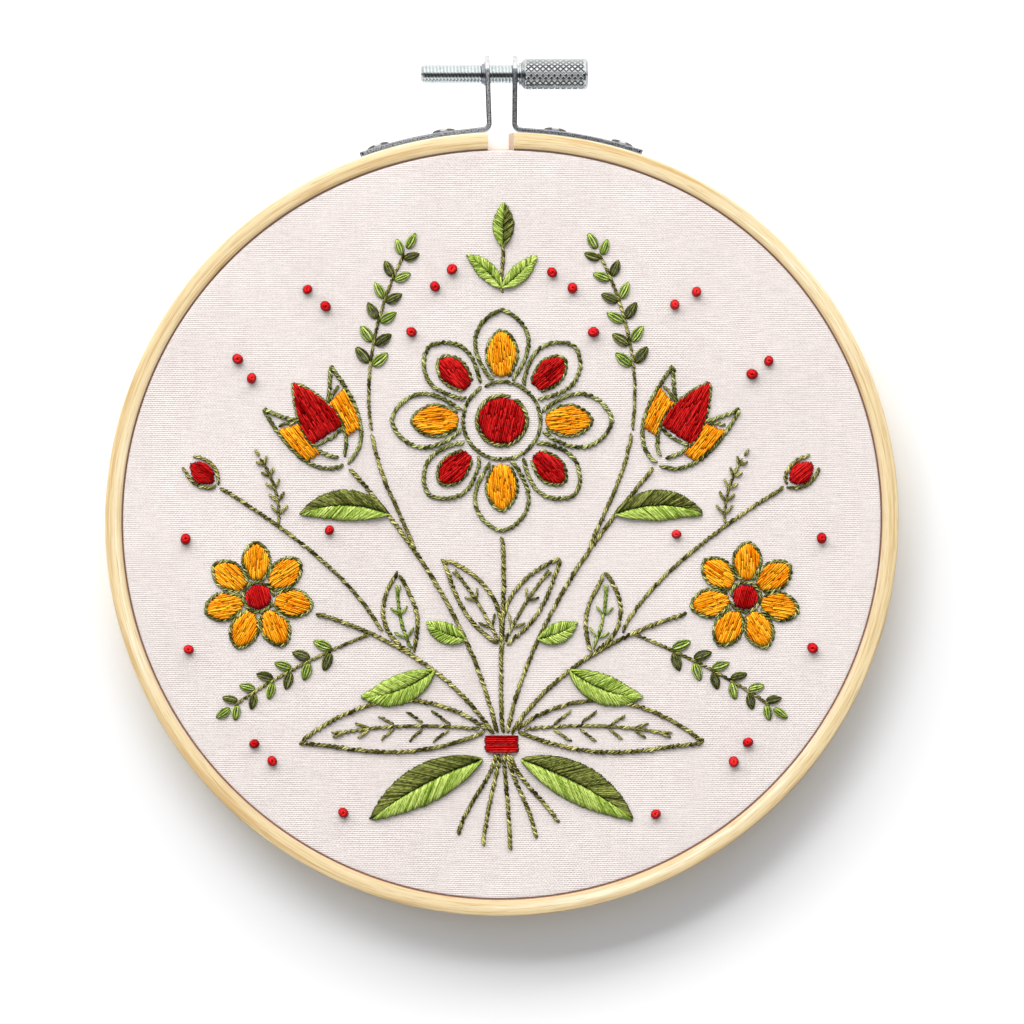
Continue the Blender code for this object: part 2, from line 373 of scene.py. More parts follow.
def end_grain_material():
    """The sawn end of the bamboo: short fibre dots, dull."""
    n = Nodes("bamboo_end")
    pos = n.new("ShaderNodeTexCoord").outputs["Object"]
    dots = n.noise(n.vmath("MULTIPLY", pos, (1500.0, 5200.0, 5200.0)), 1.0, 2.0, 0.6)
    saw = n.noise(n.vmath("MULTIPLY", pos, (900.0, 700.0, 9000.0)), 1.0, 2.0, 0.6)
    tone = n.math("ADD", n.math("MULTIPLY", dots, 0.6), n.math("MULTIPLY", saw, 0.4))
    n.set(
        Base_Color=n.ramp(tone, [(0.30, srgb(156, 136, 112)), (0.52, srgb(200, 182, 158)), (0.72, srgb(226, 212, 192))]),
        Roughness=0.8,
        Normal=n.bump(tone, 0.00012, 0.7),
    )
    return n.mat


def cloth_material():
    """Plain weave: fine raised picks across, finer ends down, slubs in both."""
    n = Nodes("cotton_plain_weave")
    pos = n.new("ShaderNodeTexCoord").outputs["Object"]
    # the threads wander a little, as pulled cloth does
    drift = n.noise(n.vmath("MULTIPLY", pos, (26.0, 26.0, 26.0)), 1.0, 1.0, 0.4)
    drift = n.math("MULTIPLY", n.math("SUBTRACT", drift, 0.5), 0.0016)
    drift_2 = n.noise(n.vmath("MULTIPLY", pos, (31.0, 22.0, 26.0)), 1.0, 1.0, 0.4)
    drift_2 = n.math("MULTIPLY", n.math("SUBTRACT", drift_2, 0.5), 0.0010)
    x, y, z = n.split(pos)
    px = n.math("MULTIPLY", n.math("ADD", x, drift_2), 2 * math.pi / (0.33 * MM))
    py = n.math("MULTIPLY", n.math("ADD", y, drift), 2 * math.pi / (0.410 * MM))
    sx, sy = n.math("SINE", px), n.math("SINE", py)
    # half frequencies make the over-and-under of a plain weave
    hx = n.math("SINE", n.math("MULTIPLY", px, 0.5))
    hy = n.math("SINE", n.math("MULTIPLY", py, 0.5))
    over = n.math("MULTIPLY", hx, hy)
    picks = n.math("ADD", n.math("MULTIPLY", sy, 0.62), n.math("MULTIPLY", sx, 0.20))
    weave = n.math("ADD", picks, n.math("MULTIPLY", over, 0.45))
    # slubs: some picks and ends are thicker or paler than their neighbours
    slub_x = n.noise(n.vmath("MULTIPLY", pos, (260.0, 2450.0, 1.0)), 1.0, 2.0, 0.6)
    slub_y = n.noise(n.vmath("MULTIPLY", pos, (2900.0, 60.0, 1.0)), 1.0, 2.0, 0.6)
    fuzz = n.noise(n.vmath("MULTIPLY", pos, (2900.0, 3600.0, 3600.0)), 1.0, 3.0, 0.7)
    cloud = n.noise(n.vmath("MULTIPLY", pos, (40.0, 40.0, 40.0)), 1.0, 3.0, 0.5)
    tone = n.math("ADD", n.math("MULTIPLY", weave, 0.068), n.math("MULTIPLY", n.math("SUBTRACT", slub_x, 0.5), 0.42))
    tone = n.math("ADD", tone, n.math("MULTIPLY", n.math("SUBTRACT", slub_y, 0.5), 0.16))
    tone = n.math("ADD", tone, n.math("MULTIPLY", n.math("SUBTRACT", fuzz, 0.5), 0.72))
    tone = n.math("ADD", tone, n.math("MULTIPLY", n.math("SUBTRACT", cloud, 0.5), 0.16))
    base = n.ramp(
        n.math("ADD", tone, 0.5),
        [(0.14, srgb(184, 172, 169)), (0.5, srgb(217, 207, 202)), (0.86, srgb(240, 231, 227))],
    )
    # painted shade where it turns down beside the ring, tinted brown as the light from the bamboo
    base = n.mix(n.attr("tuck").outputs["Fac"], base, srgb(146, 86, 42))
    height = n.math("ADD", n.math("MULTIPLY", weave, 0.55), n.math("MULTIPLY", slub_x, 0.8))
    height = n.math("ADD", height, n.math("MULTIPLY", slub_y, 0.7))
    height = n.math("ADD", height, n.math("MULTIPLY", fuzz, 0.4))
    n.set(Base_Color=base, Normal=n.bump(height, 0.00006, 0.8))
    n.bsdf.inputs["Roughness"].default_value = 0.88
    n.bsdf.inputs["Sheen Weight"].default_value = 0.18
    n.bsdf.inputs["Sheen Roughness"].default_value = 0.5
    n.bsdf.inputs["Specular IOR Level"].default_value = 0.25
    return n.mat


def thread_material(name, dark, mid, light, twist=1.7, spread=0.37):
    """Stranded cotton: twisted fibres read from the strand attribute, which
    holds (cos, sin, distance along in mm). The shade attribute holds each
    stitch's own tone, how far up its surface faces, and its height in mm."""
    n = Nodes(name)
    strand = n.attr("strand").outputs["Vector"]
    tone_own, crest, height_mm = n.split(n.attr("shade").outputs["Vector"])
    cos_a, sin_a, s = n.split(strand)
    # turn the section as the thread runs, so fibres wind about it
    turn = n.math("MULTIPLY", s, twist)
    ct, st = n.math("COSINE", turn), n.math("SINE", turn)
    cx = n.math("SUBTRACT", n.math("MULTIPLY", cos_a, ct), n.math("MULTIPLY", sin_a, st))
    sx = n.math("ADD", n.math("MULTIPLY", cos_a, st), n.math("MULTIPLY", sin_a, ct))
    fibre = n.noise(
        n.join(n.math("MULTIPLY", cx, 1.6), n.math("MULTIPLY", sx, 1.6), n.math("MULTIPLY", s, 0.7)),
        1.0,
        3.0,
        0.65,
    )
    fine = n.noise(
        n.join(n.math("MULTIPLY", cx, 5.0), n.math("MULTIPLY", sx, 5.0), n.math("MULTIPLY", s, 1.1)),
        1.0,
        2.0,
        0.6,
    )
    # two yarns lie side by side in each thread
    ply = n.math("ABSOLUTE", cx)
    groove = n.rescale(ply, 0.06, 0.62, 0.0, 1.0)
    tone = n.math("ADD", n.math("MULTIPLY", n.math("SUBTRACT", fibre, 0.5), 0.95), n.math("MULTIPLY", n.math("SUBTRACT", fine, 0.5), 0.65))
    tone = n.math("ADD", n.math("ADD", tone, 0.5), n.math("MULTIPLY", n.math("SUBTRACT", tone_own, 0.5), 0.60))
    # painted shade in the groove between the yarns, then painted light on the thread tops and painted shade on their
    # sides, from crest
    tone = n.math("ADD", tone, n.math("MULTIPLY", n.math("SUBTRACT", groove, 0.62), 0.14))
    tone = n.math("ADD", tone, n.math("MULTIPLY", n.math("SUBTRACT", crest, 0.66), 0.46))
    base = n.ramp(tone, [(0.49 - spread, dark), (0.49, mid), (0.49 + spread, light)])
    # light is lost between the strands and where a stitch enters the cloth
    deep = n.math("MULTIPLY", n.rescale(crest, 0.0, 0.86, 0.08, 1.05), n.rescale(height_mm, -0.05, 0.32, 0.15, 1.0))
    base = n.mix(1.0, base, n.join(deep, deep, deep), "MULTIPLY")
    height = n.math("ADD", n.math("MULTIPLY", groove, 0.6), n.math("ADD", fibre, n.math("MULTIPLY", fine, 0.7)))
    n.set(Base_Color=base, Normal=n.bump(height, 0.00007, 0.8))
    n.bsdf.inputs["Roughness"].default_value = 0.54
    n.bsdf.inputs["Specular IOR Level"].default_value = 0.34
    # mercerised cotton shines in its own colour
    bright = max(light)
    n.bsdf.inputs["Specular Tint"].default_value = (*(c / bright for c in light), 1.0)
    return n.mat


def steel_material(name, colour, rough, scratch=(600.0, 600.0, 600.0), grit=0.0, dull=0.0):
    """Bright plated steel with fine wear; grit and dull roughen sheared edges."""
    n = Nodes(name)
    pos = n.new("ShaderNodeTexCoord").outputs["Object"]
    wear = n.noise(n.vmath("MULTIPLY", pos, scratch), 1.0, 3.0, 0.6)
    spot = n.noise(n.vmath("MULTIPLY", pos, (2600.0, 2600.0, 2600.0)), 1.0, 2.0, 0.6)
    dark = tuple(c * 0.72 for c in colour)
    pale = tuple(min(1.0, c * 1.12) for c in colour)
    tone = n.math("ADD", n.math("MULTIPLY", wear, 0.5), n.math("MULTIPLY", spot, 0.5))
    base = n.ramp(tone, [(0.30, dark), (0.5, colour), (0.72, pale)])
    if dull:
        fine = n.noise(n.vmath("MULTIPLY", pos, (4300.0, 4300.0, 4300.0)), 1.0, 2.0, 0.6)
        base = n.ramp(
            fine,
            [(0.40, tuple(c * 0.10 for c in colour)), (0.48, tuple(c * 0.66 for c in colour)), (0.55, colour), (0.62, tuple(min(1.0, c * 1.35) for c in colour))],
        )
    # painted shade in cut grooves and on the rivets' sides, from a point attribute that is 0 on open faces
    cavity = n.attr("cavity").outputs["Fac"]
    painted_shade = n.math("MULTIPLY", cavity, 0.90, clamp=True)
    base = n.mix(painted_shade, base, (0.03, 0.035, 0.04))
    n.set(
        Base_Color=base,
        Metallic=n.math("MULTIPLY", n.math("SUBTRACT", 1.0, painted_shade), 1.0 - dull),
        Roughness=n.rescale(tone, 0.3, 0.7, rough * 0.75, rough * 1.3),
        Normal=n.bump(n.math("ADD", wear, n.math("MULTIPLY", spot, 1.0 + grit)), 0.00003 * (1 + grit), 0.35 + 0.4 * grit),
    )
    n.bsdf.inputs["Specular IOR Level"].default_value = 0.12
    return n.mat


WOOD = wood_material(
    "bamboo_face",
    light=srgb(246, 234, 206),
    mid=srgb(225, 204, 160),
    dark=srgb(202, 170, 118),
    streak=srgb(176, 136, 84),
)
WOOD_IN = wood_material(
    "bamboo_inner",
    light=srgb(214, 196, 156),
    mid=srgb(198, 172, 124),
    dark=srgb(178, 146, 94),
    streak=srgb(150, 112, 64),
)
WOOD_END = end_grain_material()
COTTON = cloth_material()
STRIP_STEEL = steel_material("zinc_strip", (0.46, 0.48, 0.53), 0.18, (300.0, 300.0, 2600.0))
# one sheared zinc for both brackets: the left a paler copy and the right a darker one, painted light and painted shade
EDGE_STEEL = {
    "bracket_left": steel_material("zinc_sheared_left", (0.92, 0.93, 0.95), 0.30, (1900.0, 1900.0, 1900.0), grit=0.3, dull=0.85),
    "bracket_right": steel_material("zinc_sheared_right", (0.46, 0.47, 0.50), 0.30, (1900.0, 1900.0, 1900.0), grit=0.3, dull=0.85),
}
# the ear is the strip's own zinc in a paler copy: painted light
EAR_STEEL = steel_material("zinc_ear", (0.96, 0.96, 0.98), 0.26)
SCREW_STEEL = steel_material("screw_steel", (0.88, 0.94, 0.94), 0.12)
KNURL_STEEL = steel_material("knurled_steel", (0.80, 0.82, 0.82), 0.11)
RIVET_STEEL = steel_material("rivet_steel", (0.97, 0.97, 0.98), 0.20)

THREADS = {
    "olive": thread_material("thread_olive", srgb(20, 18, 0), srgb(94, 92, 22), srgb(214, 206, 128), spread=0.29),
    "sage": thread_material("thread_sage", srgb(28, 30, 2), srgb(96, 100, 32), srgb(200, 204, 130), spread=0.33),
    "dark": thread_material("thread_dark_olive", srgb(14, 16, 0), srgb(50, 54, 12), srgb(142, 148, 76)),
    "lime": thread_material("thread_lime", srgb(58, 80, 4), srgb(120, 148, 42), srgb(204, 220, 122)),
    "red": thread_material("thread_red", srgb(60, 0, 0), srgb(142, 0, 2), srgb(216, 38, 36)),
    # the knots' red is a paler copy of the red thread: painted light
    "knot_red": thread_material("thread_knot_red", srgb(112, 0, 4), srgb(192, 6, 14), srgb(244, 60, 58)),
    "orange": thread_material("thread_orange", srgb(184, 60, 0), srgb(228, 126, 0), srgb(250, 190, 48)),
}


# ------------------------------------------------------------------------- rings
def ring_profile(width, depth, round_out, round_in, ease, crown):
    """(inset, z) loop: back eased, front round at both edges with a low crown."""
    parts = [
        arc(ease, ease, ease, 180, 270, 5),
        arc(width - ease, ease, ease, 270, 360, 5),
        arc(width - round_in, depth - round_in, round_in, 0, 80, 8),
    ]
    # low crown between the two front corners
    left = arc(round_out, depth - round_out, round_out, 100, 180, 9)
    a, b = parts[-1][-1], left[0]
    t = np.linspace(0, 1, 8)[1:-1]
    span = a[None, :] * (1 - t[:, None]) + b[None, :] * t[:, None]
    span[:, 1] += crown * 4 * t * (1 - t)
    # and points down both walls, so that the grain has room
    out = np.vstack([*parts, span, left])
    return out


def cut_angles(front_x, insets, zs):
    x = front_x - CUT_SLANT * (1 - zs / RING_D)
    angle = np.full(len(insets), np.pi / 2)
    for _ in range(12):
        angle = np.arccos(x / (hoop_radius(angle) - insets))
    return angle


def crease_and_rim_shade(profile, width, depth, inner, outer):
    """0..1 painted shade: strong in the crease beside the cloth, faint outside."""
    inset, z = profile[:, 0], profile[:, 1]
    crease = np.clip((inset - (width - 0.22 * MM)) / (0.12 * MM), 0, 1) * inner
    crease = crease + 0.26 * np.clip((inset - (width - 0.9 * MM)) / (0.6 * MM), 0, 1) * inner
    rim = np.clip((0.5 * MM - inset) / (0.5 * MM), 0, 1) * outer
    return np.clip(crease + rim, 0, 1)


def densify(loop, step):
    """Closed loop of 2-D points with no side longer than step."""
    out = []
    for i in range(len(loop)):
        a, b = loop[i], loop[(i + 1) % len(loop)]
        k = max(1, int(np.ceil(np.linalg.norm(b - a) / step)))
        for j in range(k):
            out.append(a + (b - a) * j / k)
    return np.array(out)


def make_outer_ring():
    profile = densify(
        ring_profile(FACE_W, RING_D, 0.26 * MM, 0.42 * MM, 0.45 * MM, 0.09 * MM),
        0.9 * MM,
    )
    insets, zs = profile[:, 0], profile[:, 1]
    rows = 721
    t = np.linspace(0, 1, rows)[:, None]
    start = cut_angles(CUT_LEFT_X, insets, zs)[None, :]
    end = cut_angles(CUT_RIGHT_X, insets, zs)[None, :] + 2 * np.pi
    angles = start + (end - start) * t
    # hand-shaved bamboo isn't quite even: the faces swell and thin by a hair
    swell = 0.05 * MM * np.interp(
        (angles % (2 * np.pi)) / (2 * np.pi),
        np.linspace(0, 1, 721),
        np.append(smooth_noise(11, 720, 9, 2, 17), 0) * 1.0,
    )
    facing = (insets / FACE_W - 0.5)[None, :]
    wob_z = 0.05 * MM * np.interp(
        (angles % (2 * np.pi)) / (2 * np.pi),
        np.linspace(0, 1, 721),
        np.append(smooth_noise(23, 720, 8, 2, 13), 0),
    )
    r = hoop_radius(angles) - insets[None, :] + swell * np.abs(facing) * -2 * np.sign(facing) * 0.5
    z = np.where(zs[None, :] > 5 * MM, zs[None, :] + wob_z - 0.05 * MM, zs[None, :] + 0 * angles)
    verts = np.stack([r * np.cos(angles), CENTRE_Y + r * np.sin(angles), z], -1)
    m = len(profile)
    around = run_length(np.vstack([profile, profile[:1]]))[:m]
    along = (HOOP_R * angles)
    grain = np.stack(
        [along, np.broadcast_to(around[None, :], along.shape), z], -1
    ).reshape(-1, 3)
    # painted shade of the crease and rim, for the edge attribute
    edge = np.broadcast_to(
        crease_and_rim_shade(profile, FACE_W, RING_D, 1.0, 0.10)[None, :], along.shape
    ).ravel()
    faces = grid_faces(rows, m, close_cols=True)[:, ::-1]
    obj = make_mesh(
        "hoop_outer",
        verts.reshape(-1, 3),
        faces,
        WOOD,
        attrs={"grain": grain, "edge": edge},
    )
    # the two sawn ends
    bm = bmesh.new()
    bm.from_mesh(obj.data)
    bm.verts.ensure_lookup_table()
    obj.data.materials.append(WOOD_END)
    first = bm.faces.new([bm.verts[i] for i in range(m)])
    last = bm.faces.new([bm.verts[(rows - 1) * m + i] for i in reversed(range(m))])
    for face in (first, last):
        face.material_index = 1
        face.smooth = False
    bmesh.ops.triangulate(bm, faces=[first, last])
    bm.normal_update()
    bm.to_mesh(obj.data)
    bm.free()
    obj.data.set_sharp_from_angle(angle=math.radians(50))
    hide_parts("outer_ring")
    return obj


def make_inner_ring():
    front_in = 4.00 * MM
    width, depth = 4.45 * MM, 7.24 * MM
    profile = densify(
        ring_profile(width, depth, 0.75 * MM, 0.75 * MM, 0.45 * MM, 0.02 * MM), 1.0 * MM
    )
    rows = 480
    angles = np.linspace(0, 2 * np.pi, rows, endpoint=False)
    verts = ring_points(angles, profile[:, 0] + front_in, profile[:, 1])
    m = len(profile)
    around = run_length(np.vstack([profile, profile[:1]]))[:m]
    along = np.broadcast_to((HOOP_R * angles)[:, None], verts.shape[:2])
    grain = np.stack(
        [along, np.broadcast_to(around[None, :], along.shape), verts[..., 2]], -1
    ).reshape(-1, 3)
    # painted shade of the crease and rim, for the edge attribute
    edge = np.broadcast_to(
        crease_and_rim_shade(profile, width, depth, 0.1, 0.1)[None, :], along.shape
    ).ravel()
    faces = grid_faces(rows, m, close_rows=True, close_cols=True)[:, ::-1]
    obj = make_mesh(
        "hoop_inner",
        verts.reshape(-1, 3),
        faces,
        WOOD_IN,
        attrs={"grain": grain, "edge": edge},
    )
    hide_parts("inner_ring")
    return obj


# ------------------------------------------------------------------------- cloth
CLOTH_T = 0.34 * MM
FACE_INSET = 3.50 * MM  # the cloth's outside against the outer ring
EDGE_R = 0.40 * MM


def cloth_height(x, y):
    """The taut face's small unevenness, metres, from the hoop's middle."""
    u, v = x / MM, y / MM
    h = (
        0.020 * np.sin(u / 9.1 + 0.6 * np.sin(v / 23.0)) * np.cos(v / 13.7 + 0.4)
        + 0.016 * np.sin((u * 0.5 + v) / 7.3 + 1.1)
        + 0.012 * np.sin((u - 0.7 * v) / 5.9 + 2.0)
    )
    r = np.hypot(u, v) / 74.0
    a = np.arctan2(v, u)
    pull = np.clip((r - 0.78) / 0.22, 0, 1) ** 2
    h = h * (1 - 0.7 * r**4) + 0.030 * pull * (
        np.sin(26 * a + 2 * np.sin(3 * a)) * 0.6 + np.sin(41 * a + 1.0) * 0.4
    )
    return h * MM


def make_cloth():
    rows = 360
    angles = np.linspace(0, 2 * np.pi, rows, endpoint=False)
    # across: the wall from its trimmed edge, the rounded edge, then the face
    wall = np.stack([np.full(9, FACE_INSET), np.linspace(0.45 * MM, CLOTH_TOP - EDGE_R, 9)], -1)
    rim = arc(FACE_INSET + EDGE_R, CLOTH_TOP - EDGE_R, EDGE_R, 180, 90, 9)[1:]
    outside = np.vstack([wall, rim])
    inner_r = EDGE_R - CLOTH_T
    rim_in = arc(FACE_INSET + EDGE_R, CLOTH_TOP - EDGE_R, inner_r, 90, 180, 6)
    wall_in = np.stack([np.full(6, FACE_INSET + CLOTH_T), np.linspace(CLOTH_TOP - EDGE_R, 0.45 * MM, 6)], -1)[1:]
    inside = np.vstack([rim_in, wall_in])

    verts, faces = [], []
    top = ring_points(angles, outside[:, 0], outside[:, 1])  # rows, k, 3
    k_out = top.shape[1]
    verts.append(top.reshape(-1, 3))
    # face rings, shrinking to the middle
    shrink = 1 - np.linspace(0, 1, 86)[1:-1]
    edge_xy = top[:, -1, :2]
    face = np.empty((rows, len(shrink), 3))
    for i, s in enumerate(shrink):
        xy = edge_xy * s + np.array([0, CENTRE_Y]) * (1 - s)
        h = cloth_height(xy[:, 0], xy[:, 1] - CENTRE_Y)
        fade = np.clip((1 - s) / 0.03, 0, 1)
        face[:, i, :2] = xy
        face[:, i, 2] = CLOTH_TOP + h * fade
    upper = np.concatenate([top, face], axis=1)
    n_up = upper.shape[1]
    verts = [upper.reshape(-1, 3)]
    faces = [grid_faces(rows, n_up, close_rows=True)]
    centre_up = rows * n_up
    verts.append(np.array([[0, CENTRE_Y, CLOTH_TOP + cloth_height(np.array(0.0), np.array(0.0))]]))
    # underside, coarser, from the middle outwards
    low = ring_points(angles, inside[:, 0], inside[:, 1])
    shrink_in = np.linspace(0, 1, 30)[1:-1]
    face_in = np.empty((rows, len(shrink_in), 3))
    edge_in = low[:, 0, :2]
    for i, s in enumerate(shrink_in):
        xy = edge_in * s + np.array([0, CENTRE_Y]) * (1 - s)
        h = cloth_height(xy[:, 0], xy[:, 1] - CENTRE_Y)
        fade = np.clip((1 - s) / 0.06, 0, 1)
        face_in[:, i, :2] = xy
        face_in[:, i, 2] = CLOTH_TOP - CLOTH_T + h * fade
    lower = np.concatenate([face_in, low], axis=1)
    n_low = lower.shape[1]
    start = centre_up + 1
    verts.append(lower.reshape(-1, 3))
    faces.append(grid_faces(rows, n_low, close_rows=True, start=start))
    centre_low = start + rows * n_low
    verts.append(np.array([[0, CENTRE_Y, CLOTH_TOP - CLOTH_T]]))
    verts = np.vstack(verts)
    quads = np.vstack(faces).tolist()
    for i in range(rows):
        j = (i + 1) % rows
        quads.append([i * n_up + n_up - 1, centre_up, j * n_up + n_up - 1][::-1][::-1])
        quads.append([centre_low, start + i * n_low, start + j * n_low])
        # the trimmed edge
        quads.append(
            [i * n_up, j * n_up, start + j * n_low + n_low - 1, start + i * n_low + n_low - 1]
        )
    # tuck: painted shade on the cloth where it turns down beside the ring
    drop = (CLOTH_TOP - verts[:, 2]) / EDGE_R
    tuck = np.clip((drop - 0.16) / 0.28, 0, 1)
    tuck[centre_up + 1 :] = 0.0
    obj = make_mesh("cloth_stretched", verts, quads, COTTON, attrs={"tuck": tuck})
    bm = bmesh.new()
    bm.from_mesh(obj.data)
    bmesh.ops.recalc_face_normals(bm, faces=bm.faces)
    bm.to_mesh(obj.data)
    bm.free()
    obj.data.shade_smooth()
    obj.data.set_sharp_from_angle(angle=math.radians(60))
    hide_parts("cloth")
    return obj


# ------------------------------------------------------------------------- clamp
def strip_path(spec):
    """Centre line of a bracket in plan, foot end first, with its ear's line."""
    far, leave = math.radians(spec["far"]), math.radians(spec["leave"])
    lift = STRIP_T / 2 + 0.04 * MM

    def on_ring(a):
        r = float(hoop_radius(a)) + lift
        return Vector((r * math.cos(a), CENTRE_Y + r * math.sin(a)))

    points = [on_ring(far + (leave - far) * i / 24) for i in range(25)]
    ahead = (points[-1] - points[-2]).normalized()
    high = Vector((spec["high"] * MM, CENTRE_Y + SCREW_Y))
    low = Vector((spec["low"] * MM, points[-1].y + 3 * MM))
    up = (high - low).normalized()
    across = ahead.x * up.y - ahead.y * up.x
    gap = low - points[-1]
    meet = points[-1] + ahead * ((gap.x * up.y - gap.y * up.x) / across)
    turn = math.acos(max(-1.0, min(1.0, ahead.dot(up))))
    first = meet - ahead * BEND_R * math.tan(turn / 2)
    normal = Vector((-ahead.y, ahead.x))
    if normal.dot(up) < 0:
        normal = -normal
    centre = first + normal * BEND_R
    run = first - points[-1]
    for i in (0.33, 0.66):
        points.append(points[24] + run * i)
    arm = first - centre
    sign = 1 if across > 0 else -1
    for i in range(15):
        a = sign * turn * i / 14
        points.append(
            centre
            + Vector(
                (
                    arm.x * math.cos(a) - arm.y * math.sin(a),
                    arm.x * math.sin(a) + arm.y * math.cos(a),
                )
            )
        )
    last = points[-1]
    for i in (0.25, 0.5, 0.75):
        points.append(last + (high - up * 3.3 * MM - last) * i)
    return points, up, high


def make_bracket(name, spec):
    points, up, screw = strip_path(spec)
    half, t = STRIP_W / 2, STRIP_T / 2
    # shearing and tumbling leave the edges well rounded
    ease_s, ease_z = 0.36 * MM, 0.26 * MM
    turn = [math.radians(step) for step in (0, 22, 45, 68, 90)]
    corner = [(t - ease_s + ease_s * math.cos(q), ease_z * (1 - math.sin(q))) for q in turn]
    rows = []

    def add(point, ahead, width):
        side = Vector((-ahead.y, ahead.x))
        loop = [(c, width - e) for c, e in corner]
        loop += [(-c, z) for c, z in reversed(loop)]
        loop += [(-t, width * 0.33), (-t, -width * 0.33)]
        loop += [(-c, e - width) for c, e in corner]
        loop += [(c, e - width) for c, e in reversed(corner)]
        loop += [(t, -width * 0.33), (t, width * 0.33)]
        row = []
        for s, z in loop:
            xy = point + side * s
            row.append((xy.x, xy.y, MID_Z + z))
        rows.append(row)

    corner_r = 1.0 * MM
    ahead = (points[1] - points[0]).normalized()
    for step in (0, 15, 30, 45, 60, 75, 90):
        a = math.radians(step)
        add(
            points[0] + ahead * corner_r * (1 - math.cos(a)),
            ahead,
            half - corner_r * (1 - math.sin(a)),
        )
    for i in range(2, len(points)):
        before = (points[i] - points[i - 1]).normalized()
        after = (points[i + 1] - points[i]).normalized() if i + 1 < len(points) else up
        add(points[i], (before + after).normalized(), half)
    for step in (-50, -35, -20, -10, 0, 8, 16, 24, 32, 40, 48, 56, 64, 72, 79, 85, 88.5):
        a = math.radians(step)
        width = half * math.cos(a) if step > 0 else half
        add(screw + up * half * math.sin(a), up, max(width, ease_z * 1.15))
    k = len(rows[0])
    verts = np.array(rows).reshape(-1, 3)
    faces = grid_faces(len(rows), k, close_cols=True).tolist()
    faces.append(list(range(k))[::-1])
    faces.append([(len(rows) - 1) * k + i for i in range(k)])
    obj = make_mesh(name + "_strip", verts, faces, STRIP_STEEL)
    bm = bmesh.new()
    bm.from_mesh(obj.data)
    bmesh.ops.recalc_face_normals(bm, faces=bm.faces)
    obj.data.materials.append(EDGE_STEEL[name])
    obj.data.materials.append(EAR_STEEL)
    bm.faces.ensure_lookup_table()
    # the sheared edges are the faces that look along Z, round the ear, or end on
    for face in bm.faces:
        if abs(face.normal.z) > 0.93 or face.index >= len(bm.faces) - 2:
            face.material_index = 1
        # the ear takes the paler copy of the zinc, painted light
        if face.calc_center_median().y > screw.y + 0.9 * MM:
            face.material_index = 2
    bm.to_mesh(obj.data)
    bm.free()
    obj.data.set_sharp_from_angle(angle=math.radians(50))
    # the screw's hole
    bm = bmesh.new()
    bmesh.ops.create_cone(
        bm, cap_ends=True, segments=64, radius1=1.97 * MM, radius2=1.97 * MM, depth=8 * MM
    )
    for v in bm.verts:
        v.co = Vector((v.co.z, v.co.y, -v.co.x)) + Vector((screw.x, screw.y, MID_Z))
    mesh = bpy.data.meshes.new(name + "_drill")
    bm.to_mesh(mesh)
    bm.free()
    drill = bpy.data.objects.new(name + "_drill", mesh)
    bpy.context.scene.collection.objects.link(drill)
    boolean = obj.modifiers.new("hole", "BOOLEAN")
    boolean.operation = "DIFFERENCE"
    boolean.solver = "EXACT"
    boolean.object = drill
    apply_modifiers(obj)
    bpy.data.objects.remove(drill)
    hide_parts(name)
    return obj


def apply_modifiers(obj):
    dg = bpy.context.evaluated_depsgraph_get()
    dg.update()
    mesh = bpy.data.meshes.new_from_object(obj.evaluated_get(dg))
    old = obj.data
    obj.modifiers.clear()
    obj.data = mesh
    mesh.name = old.name + "_done"


def lathe(name, profile, mat, body="hoop", sides=48, sharp=40, dull=None):
    """Turned shape about +X from (x, r) rows whose ends are on the axis."""
    profile = np.asarray(profile, float)
    inner = profile[1:-1]
    a = np.linspace(0, 2 * np.pi, sides, endpoint=False)
    x = np.repeat(inner[:, 0][:, None], sides, 1)
    y = inner[:, 1][:, None] * np.cos(a)[None, :]
    z = inner[:, 1][:, None] * np.sin(a)[None, :]
    verts = np.stack([x, y, z], -1).reshape(-1, 3)
    n = len(verts)
    verts = np.vstack([verts, [[profile[0, 0], 0, 0], [profile[-1, 0], 0, 0]]])
    faces = grid_faces(len(inner), sides, close_cols=True)[:, ::-1].tolist()
    for i in range(sides):
        j = (i + 1) % sides
        faces.append([n, i, j][::-1])
        base = (len(inner) - 1) * sides
        faces.append([n + 1, base + j, base + i][::-1])
    # dull gives the point attribute of painted shade
    attrs = {"cavity": dull(verts)} if dull else None
    obj = make_mesh(name, verts, faces, mat, body=body, attrs=attrs)
    bm = bmesh.new()
    bm.from_mesh(obj.data)
    bmesh.ops.recalc_face_normals(bm, faces=bm.faces)
    bm.to_mesh(obj.data)
    bm.free()
    obj.data.shade_smooth()
    obj.data.set_sharp_from_angle(angle=math.radians(sharp))
    return obj


def place(obj, point, turn_z=0.0):
    """Moves the mesh itself, so the object stays at the origin."""
    obj.data.transform(
        Matrix.Translation(Vector(point)) @ Matrix.Rotation(turn_z, 4, "Z")
    )
    obj.data.update()


def rivet_painted_dark_sides(verts):
    """Painted shade on both sides of the head, out to its rim."""
    sideways = np.clip((np.abs(verts[:, 1]) / (2.27 * MM) - 0.22) / 0.14, 0, 1)
    return 0.95 * sideways


